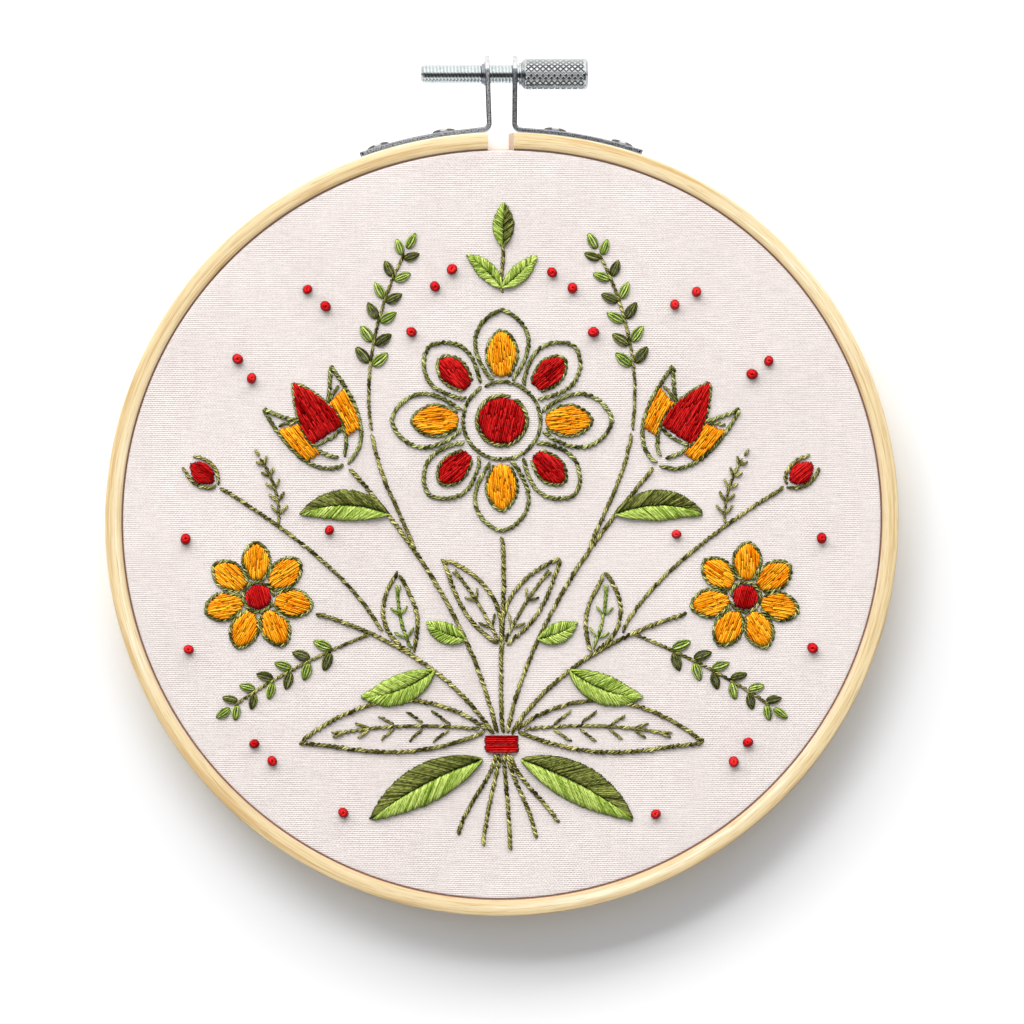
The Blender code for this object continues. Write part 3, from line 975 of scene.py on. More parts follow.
def make_rivets():
    for name, spec in BRACKETS.items():
        for i, degrees in enumerate(spec["rivets"]):
            a = math.radians(degrees)
            profile = [(-0.35 * MM, 0), (-0.35 * MM, 2.10 * MM), (0.02 * MM, 2.25 * MM), (0.16 * MM, 2.27 * MM)]
            for step in np.linspace(14, 86, 13):
                b = math.radians(step)
                profile.append((0.10 * MM + 0.56 * MM * math.sin(b), 2.27 * MM * math.cos(b) ** 0.92))
            profile.append((0.662 * MM, 0))
            label = name.replace("bracket", "rivet") + f"_{i + 1}"
            obj = lathe(label + "_head", profile, RIVET_STEEL, sides=48, dull=rivet_painted_dark_sides)
            r = float(hoop_radius(a)) + STRIP_T + 0.04 * MM
            tilt = a
            if abs(degrees - 90) < 9.5:  # the strip has begun to leave the ring
                tilt = a + (0.02 if degrees < 90 else -0.02)
                r += 0.02 * MM
            place(obj, (r * math.cos(a), CENTRE_Y + r * math.sin(a), MID_Z), tilt)
            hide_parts(label)


def make_screw():
    """Threaded rod and knurled head in one mesh each, both on the screw."""
    axis = (0, CENTRE_Y + SCREW_Y, MID_Z)
    # ---- the thread: a helix of V ridges, tapered in at its start
    sides, per_pitch = 48, 14
    x0, x1 = ROD_END_X, HEAD_FACE_X + 0.3 * MM
    rows = int((x1 - x0) / PITCH * per_pitch) + 1
    x = np.linspace(x0, x1, rows)[:, None]
    a = np.linspace(0, 2 * np.pi, sides, endpoint=False)[None, :]
    phase = (x / PITCH - a / (2 * np.pi)) % 1.0
    ridge = 1 - np.abs(phase - 0.5) * 2  # 0 in the root, 1 on the crest
    ridge = np.clip((ridge - 0.12) / 0.52, 0, 1)
    depth = 0.17 * MM
    r = ROD_R - depth * (1 - ridge)
    lead = np.clip((x - x0) / (0.55 * MM), 0, 1)
    r = np.minimum(r, (ROD_R - 0.5 * MM) + 0.5 * MM * lead)
    verts = np.stack([np.broadcast_to(x, r.shape), r * np.cos(a), r * np.sin(a)], -1).reshape(-1, 3)
    n = len(verts)
    verts = np.vstack([verts, [[x0, 0, 0], [x1, 0, 0]]])
    faces = grid_faces(rows, sides, close_cols=True)[:, ::-1].tolist()
    for i in range(sides):
        j = (i + 1) % sides
        faces.append([n, j, i])
        faces.append([n + 1, (rows - 1) * sides + i, (rows - 1) * sides + j])
    # painted shade in the thread's roots
    hollow = np.append(np.clip(0.45 - ridge, 0, 1).ravel() * 0.45, [0, 0])
    rod = make_mesh(
        "screw_thread", verts, faces, SCREW_STEEL, body="screw", attrs={"cavity": hollow}, sharp=70
    )
    place(rod, axis)
    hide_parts("clamp_screw")
    # ---- the head: flange, groove, domed shoulder, then diamond knurling
    sides = 240
    lead_in = [
        (HEAD_FACE_X + 0.00 * MM, 2.00 * MM),
        (HEAD_FACE_X + 0.05 * MM, 2.22 * MM),
        (HEAD_FACE_X + 0.14 * MM, 2.32 * MM),
        (HEAD_FACE_X + 0.42 * MM, 2.36 * MM),
        (HEAD_FACE_X + 0.47 * MM, 2.24 * MM),
        (HEAD_FACE_X + 0.51 * MM, 2.24 * MM),
        (HEAD_FACE_X + 0.53 * MM, 2.40 * MM),
    ]
    cone = HEAD_FULL_X + 0.10 * MM - HEAD_FACE_X - 0.53 * MM
    for step in np.linspace(0.1, 1, 9):
        lead_in.append(
            (
                HEAD_FACE_X + 0.53 * MM + cone * step,
                2.40 * MM + (HEAD_R - 2.40 * MM) * (1 - (1 - step) ** 1.3),
            )
        )
    # the grid's lines run through the diamonds' corners, and its diagonals
    # lie along the two cuts, so every facet is flat and every edge is crisp
    per, around = 12, 17
    sides = per * around
    step_x = 1.18 * MM
    knurl_x0 = HEAD_FULL_X + 0.15 * MM
    rows_k = int((HEAD_END_X - 0.52 * MM - knurl_x0) / (step_x / per)) + 1
    xs = knurl_x0 + np.arange(rows_k) * step_x / per
    a = np.linspace(0, 2 * np.pi, sides, endpoint=False)
    i_a, i_x = np.arange(sides)[None, :], np.arange(rows_k)[:, None]
    u = ((i_a + i_x) % per) / per
    v = ((i_a - i_x) % per) / per
    far = np.maximum(np.abs(u - 0.5), np.abs(v - 0.5)) * 2
    groove = np.clip((far - KNURL_FLAT) / (1.0 - KNURL_FLAT), 0, 1)
    # painted shade at the bottoms of the cut grooves
    knurl_groove_shade = np.clip((far - 0.84) / 0.12, 0, 1)
    fade = np.clip((xs - knurl_x0) / (0.22 * MM), 0, 1) * np.clip((xs[-1] - xs) / (0.30 * MM), 0, 1)
    groove = groove * fade[:, None]
    knurl_groove_shade = knurl_groove_shade * fade[:, None]
    rk = HEAD_R - KNURL_DEPTH * groove
    tail = [
        (HEAD_END_X - 0.50 * MM, HEAD_R),
        (HEAD_END_X - 0.42 * MM, HEAD_R - 0.01 * MM),
        (HEAD_END_X - 0.10 * MM, HEAD_R - 0.34 * MM),
        (HEAD_END_X - 0.02 * MM, HEAD_R - 0.46 * MM),
        (HEAD_END_X, HEAD_R - 0.60 * MM),
        (HEAD_END_X, HEAD_R - 1.00 * MM),
        (HEAD_END_X - 0.12 * MM, HEAD_R - 1.25 * MM),
        (HEAD_END_X - 0.12 * MM, HEAD_R - 2.2 * MM),
    ]
    all_x, all_r, hollow = [], [], []
    for px, pr in lead_in:
        all_x.append(px)
        all_r.append(np.full(sides, pr))
        # painted shade in the groove behind the flange
        hollow.append(np.full(sides, 0.8 if 2.23 * MM < pr < 2.25 * MM else 0.0))
    for i, px in enumerate(xs):
        all_x.append(px)
        all_r.append(rk[i])
        hollow.append(knurl_groove_shade[i])
    for px, pr in tail:
        all_x.append(px)
        all_r.append(np.full(sides, pr))
        hollow.append(np.zeros(sides))
    all_x, all_r = np.array(all_x), np.array(all_r)
    verts = np.stack(
        [np.repeat(all_x[:, None], sides, 1), all_r * np.cos(a)[None, :], all_r * np.sin(a)[None, :]], -1
    ).reshape(-1, 3)
    n = len(verts)
    rows = len(all_x)
    verts = np.vstack([verts, [[all_x[0], 0, 0], [all_x[-1], 0, 0]]])
    faces = []
    for i in range(rows - 1):
        for k in range(sides):
            m = (k + 1) % sides
            p, q, r, t = i * sides + k, i * sides + m, (i + 1) * sides + m, (i + 1) * sides + k
            # split each square along the diagonal whose ends are level
            if abs(all_r[i, k] - all_r[i + 1, m]) <= abs(all_r[i, m] - all_r[i + 1, k]):
                faces += [[r, q, p], [t, r, p]]
            else:
                faces += [[t, q, p], [t, r, q]]
    for i in range(sides):
        j = (i + 1) % sides
        faces.append([n, j, i])
        faces.append([n + 1, (rows - 1) * sides + i, (rows - 1) * sides + j])
    head = make_mesh(
        "screw_head",
        verts,
        faces,
        KNURL_STEEL,
        body="screw",
        attrs={"cavity": np.append(np.array(hollow).ravel() ** 3.0, [0, 0])},
        sharp=16,
    )
    place(head, axis)
    # ---- the threaded collar drawn out of the left ear: it belongs to the hoop
    ear_x = BRACKETS["bracket_left"]["high"] * MM - STRIP_T / 2
    profile = [(0.10 * MM, 1.93 * MM), (0.10 * MM, 2.42 * MM), (-0.03 * MM, 2.38 * MM)]
    for step in np.linspace(0, 1, 7):
        b = step * math.pi / 2
        profile.append((-0.05 * MM - 0.22 * MM * math.sin(b), 2.32 * MM - 0.20 * MM * (1 - math.cos(b))))
    profile += [(-0.60 * MM, 2.09 * MM), (-0.68 * MM, 2.04 * MM), (-0.68 * MM, 1.93 * MM)]
    profile = np.array(profile)
    sides = 64
    a = np.linspace(0, 2 * np.pi, sides, endpoint=False)
    verts = np.stack(
        [
            np.repeat(profile[:, 0][:, None], sides, 1) + ear_x,
            profile[:, 1][:, None] * np.cos(a)[None, :],
            profile[:, 1][:, None] * np.sin(a)[None, :],
        ],
        -1,
    ).reshape(-1, 3)
    collar = make_mesh(
        "bracket_left_collar",
        verts,
        grid_faces(len(profile), sides, close_rows=True, close_cols=True).tolist(),
        STRIP_STEEL,
        sharp=50,
    )
    bm = bmesh.new()
    bm.from_mesh(collar.data)
    bmesh.ops.recalc_face_normals(bm, faces=bm.faces)
    bm.to_mesh(collar.data)
    bm.free()
    place(collar, axis)


# ======== picture: begins
# ------------------------------------------------------------- the picture
class Design:
    """The picture to be stitched, in millimetres from the hoop's middle.

    ropes     (path, colour, width)            stem stitch along a path
    singles   (start, end, colour, width)      one straight stitch
    satins    (starts, ends, colour, width)    many straight stitches in a fill
    loops     (root, ahead, across, colour)    a small leaf of looped stitches
    knots     (x, y, colour, size)             French knots
    """

    def __init__(self):
        self.ropes, self.singles, self.satins = [], [], []
        self.loops, self.knots = [], []
        self.rng = np.random.default_rng(77)

    # ---- drawing in either half: side is 1 on the right and -1 on the left
    def rope(self, path, colour="olive", width=1.0, side=1):
        path = np.asarray(path, float) * (side, 1)
        self.ropes.append((path, colour, width))

    def single(self, a, b, colour="olive", width=0.8, side=1):
        self.singles.append(
            (np.asarray(a, float) * (side, 1), np.asarray(b, float) * (side, 1), colour, width)
        )

    def knot(self, x, y, colour="red", size=1.0, side=1):
        self.knots.append((x * side, y, colour, size))

    def enlarge(self, k):
        """Everything further apart by the factor k, threads as thick as before."""
        self.ropes = [(path * k, colour, width) for path, colour, width in self.ropes]
        self.singles = [(a * k, b * k, colour, width) for a, b, colour, width in self.singles]
        self.satins = [(a * k, b * k, colour, width) for a, b, colour, width in self.satins]
        self.loops = [(root * k, ahead, across, colour) for root, ahead, across, colour in self.loops]
        self.knots = [(x * k, y * k, colour, size) for x, y, colour, size in self.knots]

    def satin(self, starts, ends, colour, width, side=1):
        self.satins.append(
            (
                np.asarray(starts, float) * (side, 1),
                np.asarray(ends, float) * (side, 1),
                colour,
                width,
            )
        )


def bezier(p0, p1, p2, p3, n=48):
    t = np.linspace(0, 1, n)[:, None]
    p0, p1, p2, p3 = (np.asarray(p, float) for p in (p0, p1, p2, p3))
    return (
        p0 * (1 - t) ** 3 + 3 * p1 * t * (1 - t) ** 2 + 3 * p2 * t**2 * (1 - t) + p3 * t**3
    )


def resample(path, step):
    """Points an even step apart along a path (the last step is fitted)."""
    path = np.asarray(path, float)
    d = np.concatenate([[0], np.cumsum(np.linalg.norm(np.diff(path, axis=0), axis=1))])
    n = max(2, int(round(d[-1] / step)) + 1)
    s = np.linspace(0, d[-1], n)
    return np.stack([np.interp(s, d, path[:, i]) for i in range(path.shape[1])], -1)


def normals(path):
    """Unit vectors to the left of a path at each of its points."""
    d = np.gradient(path, axis=0)
    d /= np.maximum(1e-9, np.linalg.norm(d, axis=1))[:, None]
    return np.stack([-d[:, 1], d[:, 0]], -1)


def turned(points, angle, at=(0, 0), scale=1.0):
    c, s = math.cos(angle), math.sin(angle)
    points = np.asarray(points, float) * scale
    return points @ np.array([[c, s], [-s, c]]) + np.asarray(at, float)


def leaf_axis(base, tip, bend):
    base, tip = np.asarray(base, float), np.asarray(tip, float)
    along = tip - base
    off = np.array([-along[1], along[0]]) * bend
    return bezier(base, base + along * 0.35 + off, base + along * 0.7 + off, tip, 60)


def leaf_sides(axis, width, belly=0.85, point=1.0):
    t = np.linspace(0, 1, len(axis))
    half = width / 2 * np.sin(np.pi * t**belly) ** point
    n = normals(axis)
    return axis + n * half[:, None], axis - n * half[:, None]


def outline_leaf(d, base, tip, width, bend=0.0, side=1, veins=4, colour="olive", vein="olive", rib=0.82):
    axis = leaf_axis(base, tip, bend)
    left, right = leaf_sides(axis, width)
    d.rope(left, colour, 1.02, side)
    d.rope(right[::-1], colour, 1.02, side)
    n = len(axis)
    d.rope(axis[2 : int(n * rib)], vein, 0.86, side)
    edge = {1: left, -1: right}
    for k in range(veins):
        t = 0.17 + 0.56 * k / max(1, veins - 1)
        a = axis[int(n * t)]
        for s in (1, -1):
            out = edge[s][min(n - 1, int(n * (t + 0.17)))]
            b = a + (out - a) * (0.66 - 0.05 * k)
            if np.linalg.norm(b - a) > 3.6:
                d.rope(np.array([b, a + (b - a) * 0.06]), vein, 0.74, side)
            elif np.linalg.norm(b - a) > 1.2:
                d.single(b, a + (b - a) * 0.05, vein, 0.72, side)


def satin_half(axis, edge, slant, pitch):
    """Stitch ends from the midrib out to one edge, slanting to the tip."""
    n = len(axis)
    t = np.linspace(0, 1, n)
    d = np.concatenate([[0], np.cumsum(np.linalg.norm(np.diff(axis, axis=0), axis=1))])
    count = max(4, int(d[-1] / pitch))
    s = np.linspace(0.02, 0.985, count)
    inner_t = np.clip(s - slant * (1 - 0.2 * s), 0, 1)
    start = np.stack([np.interp(inner_t, t, axis[:, i]) for i in (0, 1)], -1)
    end = np.stack([np.interp(s, t, edge[:, i]) for i in (0, 1)], -1)
    return start, end


def satin_leaf(d, base, tip, width, bend=0.0, side=1, upper="lime", lower="lime", pitch=0.37):
    axis = leaf_axis(base, tip, bend)
    left, right = leaf_sides(axis, width, 0.9, 0.85)
    for edge, colour in ((left, upper), (right, lower)):
        start, end = satin_half(axis, edge, 0.20, pitch)
        d.satin(start, end, colour, 0.50, side)


def fern(d, axis, side=1, leaf=4.0, gap=3.7, first=2.2, colours=("lime", "dark"), stem="olive"):
    """A sprig whose small fat leaves stand in pairs along a thin stem."""
    axis = resample(axis, 0.5)
    d.rope(axis[:-3], stem, 0.80, side)
    total = 0.5 * (len(axis) - 1)
    n = normals(axis)
    ahead = np.stack([n[:, 1], -n[:, 0]], -1)
    s, k = first, 0
    while s < total - 1.6:
        i = int(s / 0.5)
        size = leaf * (1.0 - 0.28 * s / total)
        for sign in (1, -1):
            j = min(len(axis) - 1, i + (1 if sign < 0 else 0))
            direction = ahead[j] * 0.70 + n[j] * sign * 0.72
            small_leaf(d, axis[j] + n[j] * sign * 0.30, direction, size, colours[(k + (sign < 0)) % len(colours)], side)
        s += gap
        k += 1
    small_leaf(d, axis[-3], ahead[-1], leaf * 0.78, colours[k % len(colours)], side)


def small_leaf(d, root, direction, size, colour, side):
    """One fat little leaf: a few stitches lying side by side in a loop."""
    direction = np.asarray(direction, float)
    direction = direction / np.linalg.norm(direction)
    across = np.array([-direction[1], direction[0]])
    d.loops.append(
        (
            np.asarray(root, float) * (side, 1),
            direction * (side, 1) * size,
            across * (side, 1) * size * 0.22,
            colour,
        )
    )


def twig(d, axis, side=1, stitch=3.0, gap=2.6, colour="olive"):
    """A bare sprig: a stem with short straight stitches in pairs."""
    axis = resample(axis, 0.5)
    d.rope(axis, colour, 0.78, side)
    n = normals(axis)
    ahead = np.stack([n[:, 1], -n[:, 0]], -1)
    total = 0.5 * (len(axis) - 1)
    s = gap * 0.8
    while s < total - 0.5:
        i = int(s / 0.5)
        for sign in (1, -1):
            out = ahead[i] * 0.75 + n[i] * sign * 0.62
            length = stitch * (1 - 0.35 * s / total)
            d.single(axis[i] + out * length, axis[i] + out * 0.2, colour, 0.80, side)
        s += gap
    d.single(axis[-1] + ahead[-1] * stitch * 0.6, axis[-1], colour, 0.80, side)


def cut_lines(polygon, angle, pitch, phase=0.0):
    """Where a family of parallel lines runs inside a closed polygon."""
    c, s = math.cos(angle), math.sin(angle)
    p = np.asarray(polygon, float) @ np.array([[c, -s], [s, c]])
    low, high = p[:, 1].min(), p[:, 1].max()
    out = []
    y = low + pitch * (0.5 + phase)
    while y < high - pitch * 0.2:
        xs = []
        for a, b in zip(p, np.roll(p, -1, axis=0)):
            if (a[1] - y) * (b[1] - y) < 0:
                xs.append(a[0] + (b[0] - a[0]) * (y - a[1]) / (b[1] - a[1]))
        xs.sort()
        for x0, x1 in zip(xs[::2], xs[1::2]):
            if x1 - x0 > 0.45:
                out.append((x0, y, x1, y))
        y += pitch
    back = np.array([[c, s], [-s, c]])
    out = np.array(out).reshape(-1, 2, 2)
    return (out.reshape(-1, 2) @ back).reshape(-1, 2, 2)


def fill(d, polygon, angle, colour, side=1, pitch=0.335, longest=5.2, inset=0.0):
    """Satin inside an outline; long rows are broken up, brick fashion."""
    rows = cut_lines(polygon, angle, pitch)
    starts, ends = [], []
    for i, (a, b) in enumerate(rows):
        length = np.linalg.norm(b - a)
        if length < 0.3:
            continue
        u = (b - a) / length
        a, b = a - u * (0.10 - inset), b + u * (0.10 - inset)
        length = np.linalg.norm(b - a)
        pieces = max(1, int(math.ceil(length / longest)))
        cuts = [0.0]
        if pieces > 1:
            shift = (0.5 if i % 2 else 0.0) + d.rng.uniform(-0.34, 0.34)
            for k in range(1, pieces + 1):
                where = (k - 0.5 + shift) * length / pieces
                if 1.2 < where < length - 1.2:
                    cuts.append(where)
        cuts.append(length)
        for c0, c1 in zip(cuts, cuts[1:]):
            starts.append(a + u * max(0.0, c0 - 0.55))
            ends.append(a + u * c1)
    if starts:
        d.satin(starts, ends, colour, 0.50, side)


def closed(points):
    points = np.asarray(points, float)
    return np.vstack([points, points[:1]])


def petal(length, width, point=0.75, belly=1.25, n=60, root=0.0):
    """A petal along +x, round at its far end when belly is above 1."""
    t = np.linspace(0, 1, n)
    half = (width / 2) * np.sin(np.pi * t**belly) ** point + root * (1 - t) ** 2
    top = np.stack([length * t, half], -1)
    bottom = np.stack([length * t, -half], -1)[::-1]
    return np.vstack([top, bottom[1:]])


def circle(x, y, r, n=64, start=0.0):
    a = np.linspace(0, 2 * math.pi, n) + start
    return np.stack([x + r * np.cos(a), y + r * np.sin(a)], -1)


def big_flower(d, x, y):
    """Open flower of eight petals, each split into outlined cells."""
    at = (x, y)
    fill(d, circle(x, y, 4.35), math.radians(78), "red", longest=5.4)
    d.rope(circle(x, y, 4.75, start=1.2), "sage", 1.0)
    d.rope(circle(x, y, 7.4, start=2.1), "sage", 0.92)
    for k in range(8):
        a = math.radians(90 + 45 * k)
        long_one = k % 2 == 0
        reach = 13.4 if long_one else 12.2
        outline = petal(reach, 9.6 if long_one else 8.6, 0.62, 1.30, root=1.6)
        outline = outline + (7.6, 0)
        d.rope(turned(outline, a, at), "sage", 1.0)
        if long_one:
            cell = petal(8.6, 5.0, 0.62, 1.15, root=0.8) + (8.45, 0)
            fill(d, turned(cell, a, at), a + 0.10, "orange", longest=6.2)
            d.rope(turned(petal(8.9, 5.4, 0.62, 1.15, root=0.9) + (8.3, 0), a, at), "sage", 0.92)
        else:
            cell = petal(7.5, 4.3, 0.62, 1.30, root=0.8) + (9.1, 0)
            fill(d, turned(cell, a, at), a - 0.10, "red", longest=5.2)
            d.rope(turned(petal(7.8, 4.7, 0.62, 1.30, root=0.9) + (8.95, 0), a, at), "sage", 0.92)


def tulip(d, x, y, angle, side):
    """Cup-shaped flower from the side, opening along +x before it is turned."""

    def put(points):
        return turned(points, angle, (x, y))

    left = np.vstack(
        [
            bezier((0, 0), (0.4, 5.6), (6.0, 8.4), (17.2, 7.6), 40),
            bezier((17.2, 7.6), (13.8, 5.2), (12.2, 3.9), (11.5, 2.9), 20)[1:],
        ]
    )
    right = left * (1, -1)
    d.rope(put(left), "sage", 1.0, side)
    d.rope(put(right[::-1]), "sage", 1.0, side)
    mid_top = bezier((1.4, 0.2), (4.5, 4.6), (11.0, 4.9), (18.6, 0), 36)
    mid = np.vstack([mid_top, (mid_top * (1, -1))[::-1][1:]])
    d.rope(put(mid_top), "sage", 0.96, side)
    d.rope(put((mid_top * (1, -1))[::-1]), "sage", 0.96, side)
    cup = mid_top[mid_top[:, 0] > 6.4]
    fill(d, put(np.vstack([cup, (cup * (1, -1))[::-1]])), angle + 0.05, "red", side, longest=6.0)
    low = cup[0][1]
    d.rope(put(bezier((6.3, low), (5.5, low * 0.4), (5.5, -low * 0.4), (6.3, -low), 14)), "sage", 0.86, side)
    for sign in (1, -1):
        outer = left[:40][(left[:40, 0] > 4.2) & (left[:40, 0] < 12.9)]
        inner = mid_top[(mid_top[:, 0] > 4.2) & (mid_top[:, 0] < 11.6)] + (0, 0.35)
        cell = np.vstack([outer - (0, 0.3), inner[::-1]])
        fill(d, put(cell * (1, sign)), angle + sign * 0.10, "orange", side, longest=5.4)
        d.rope(put(bezier((11.7, 3.9 * sign), (12.7, 5.2 * sign), (13.1, 6.2 * sign), (13.2, 7.4 * sign), 12)), "sage", 0.86, side)


def daisy(d, x, y, angle, side, petals=7, reach=10.6):
    at = (x, y)
    fill(d, circle(x, y, 2.35), math.radians(75), "red", side, longest=5.0)
    d.rope(circle(x, y, 2.85, start=angle), "sage", 0.92, side)
    for k in range(petals):
        a = angle + 2 * math.pi * k / petals
        cell = petal(reach - 3.75, 4.35, 0.62, 1.2, root=0.6) + (3.3, 0)
        fill(d, turned(cell, a, at), a + 0.12, "orange", side, longest=5.6)
        outline = petal(reach - 3.3, 4.8, 0.62, 1.2, root=0.7) + (3.1, 0)
        d.rope(turned(outline, a, at), "sage", 0.94, side)


def bud(d, x, y, angle, side, colour="red"):
    at = (x, y)
    cell = petal(5.6, 3.7, 0.7, 0.95) + (1.0, 0)
    fill(d, turned(cell, angle, at), angle, colour, side, longest=6.5)
    d.rope(turned(bezier((0.1, 0), (0.9, 2.5), (4.2, 3.3), (7.6, 1.2), 26), angle, at), "olive", 0.92, side)
    d.rope(turned(bezier((0.1, 0), (0.9, -2.5), (4.2, -3.3), (7.6, -1.2), 26), angle, at), "olive", 0.92, side)


def posy():
    d = Design()
    # stalks below the tie
    for x0, x1, y1 in ((-1.2, -8.5, -60.5), (-0.5, -3.6, -62.6), (0.4, 1.6, -63.4), (1.2, 6.6, -61.2), (1.7, 11.0, -58.2)):
        d.rope(bezier((x0, -44.4), (x0 * 1.1, -49), (x1 * 0.85, -54), (x1, y1), 24), "olive", 1.0)
    # the main stem and its flower
    d.rope(bezier((0.2, -40.6), (-1.0, -26), (1.2, -14), (0.0, -2.6), 60), "olive", 1.05)
    big_flower(d, 0.0, 19.0)
    for side in (1, -1):
        # tulips on long curved stems
        d.rope(bezier((0.9, -40.6), (5.0, -22), (15.0, -6.0), (29.2, 10.2), 70), "olive", 1.02, side)
        tulip(d, 29.6, 10.8, math.radians(57), side)
        # daisies, lower and further out
        d.rope(bezier((1.6, -40.8), (9.0, -29), (22.0, -21.6), (35.8, -17.6), 60), "olive", 1.02, side)
        daisy(d, 46.4, -14.6, math.radians(190), side)
        # ferns between the flowers
        d.rope(bezier((16.7, -5.4), (19.4, 2.0), (23.6, 8.0), (24.8, 17.0), 48), "olive", 0.95, side)
        fern(d, bezier((24.8, 17.0), (26.4, 27.0), (24.6, 40.0), (17.6, 52.6), 60), side, leaf=4.6, gap=4.3, first=12.5)
        # buds on forked twigs beside the tulips
        d.rope(bezier((22.8, -21.4), (28.0, -11.0), (41.0, -1.6), (54.2, 6.6), 60), "olive", 0.92, side)
        bud(d, 54.2, 6.6, math.radians(40), side)
        twig(d, bezier((42.6, -1.0), (42.0, 2.6), (43.0, 7.2), (46.2, 12.2), 24), side, stitch=2.8)
        # leaves on the main stem
        outline_leaf(d, (0.3, -23.8), (11.3, -7.2), 6.0, 0.06, side, veins=3)
        satin_leaf(d, (7.0, -22.6), (14.4, -19.4), 4.0, -0.08, side, "lime", "lime")
        # leaves on the tulip stem
        satin_leaf(d, (21.6, 1.2), (38.6, 1.0), 6.0, 0.14, side, "dark", "lime")
        # leaves on the daisy stem
        satin_leaf(d, (13.0, -28.6), (27.0, -33.6), 5.8, -0.12, side, "lime", "lime")
        outline_leaf(d, (17.0, -25.2), (19.6, -9.8), 6.4, -0.10, side, veins=3, vein="lime")
        # low leaves on either side of the tie
        outline_leaf(d, (2.8, -40.0), (38.6, -42.4), 9.8, 0.07, side, veins=5)
        satin_leaf(d, (3.8, -45.6), (25.2, -57.2), 7.6, 0.06, side, "dark", "lime")
        # ferns out to the lower corners
        fern(d, bezier((25.0, -21.6), (31.0, -24.0), (42.0, -28.6), (52.6, -36.4), 60), side, leaf=4.3, gap=4.1, first=8.4)
        # loose berries
        for x, y in (
            (9.6, 47.4), (13.2, 44.8), (33.0, 40.8), (36.8, 43.6), (47.6, 27.4), (51.0, 30.6),
            (60.6, -3.4), (33.4, -2.2), (60.2, -24.4), (44.0, -46.0), (47.2, -42.6), (29.8, -56.0),
            (17.4, 33.2 + 3.0),
        ):
            d.knot(x + d.rng.normal() * 0.35, y + d.rng.normal() * 0.35, "red", d.rng.uniform(0.92, 1.08), side)
    # top spray over the big flower
    d.rope(bezier((0, 43.2), (-0.4, 46.0), (0.5, 49.0), (0.2, 53.0), 20), "olive", 0.9)
    for side in (1, -1):
        satin_leaf(d, (0.1, 44.4), (6.6, 50.6), 3.4, -0.05 * side, side, "lime", "lime")
    satin_leaf(d, (0.2, 52.2), (0.4, 60.6), 4.0, 0.0, 1, "lime", "dark")
    # the tie: a satin band with a small bow
    band = np.array([(-3.1, -44.2), (3.1, -44.2), (3.2, -41.0), (-3.2, -41.0)])
    fill(d, band, 0.0, "red", longest=9.0, pitch=0.40)
    d.enlarge(1.06)
    return d


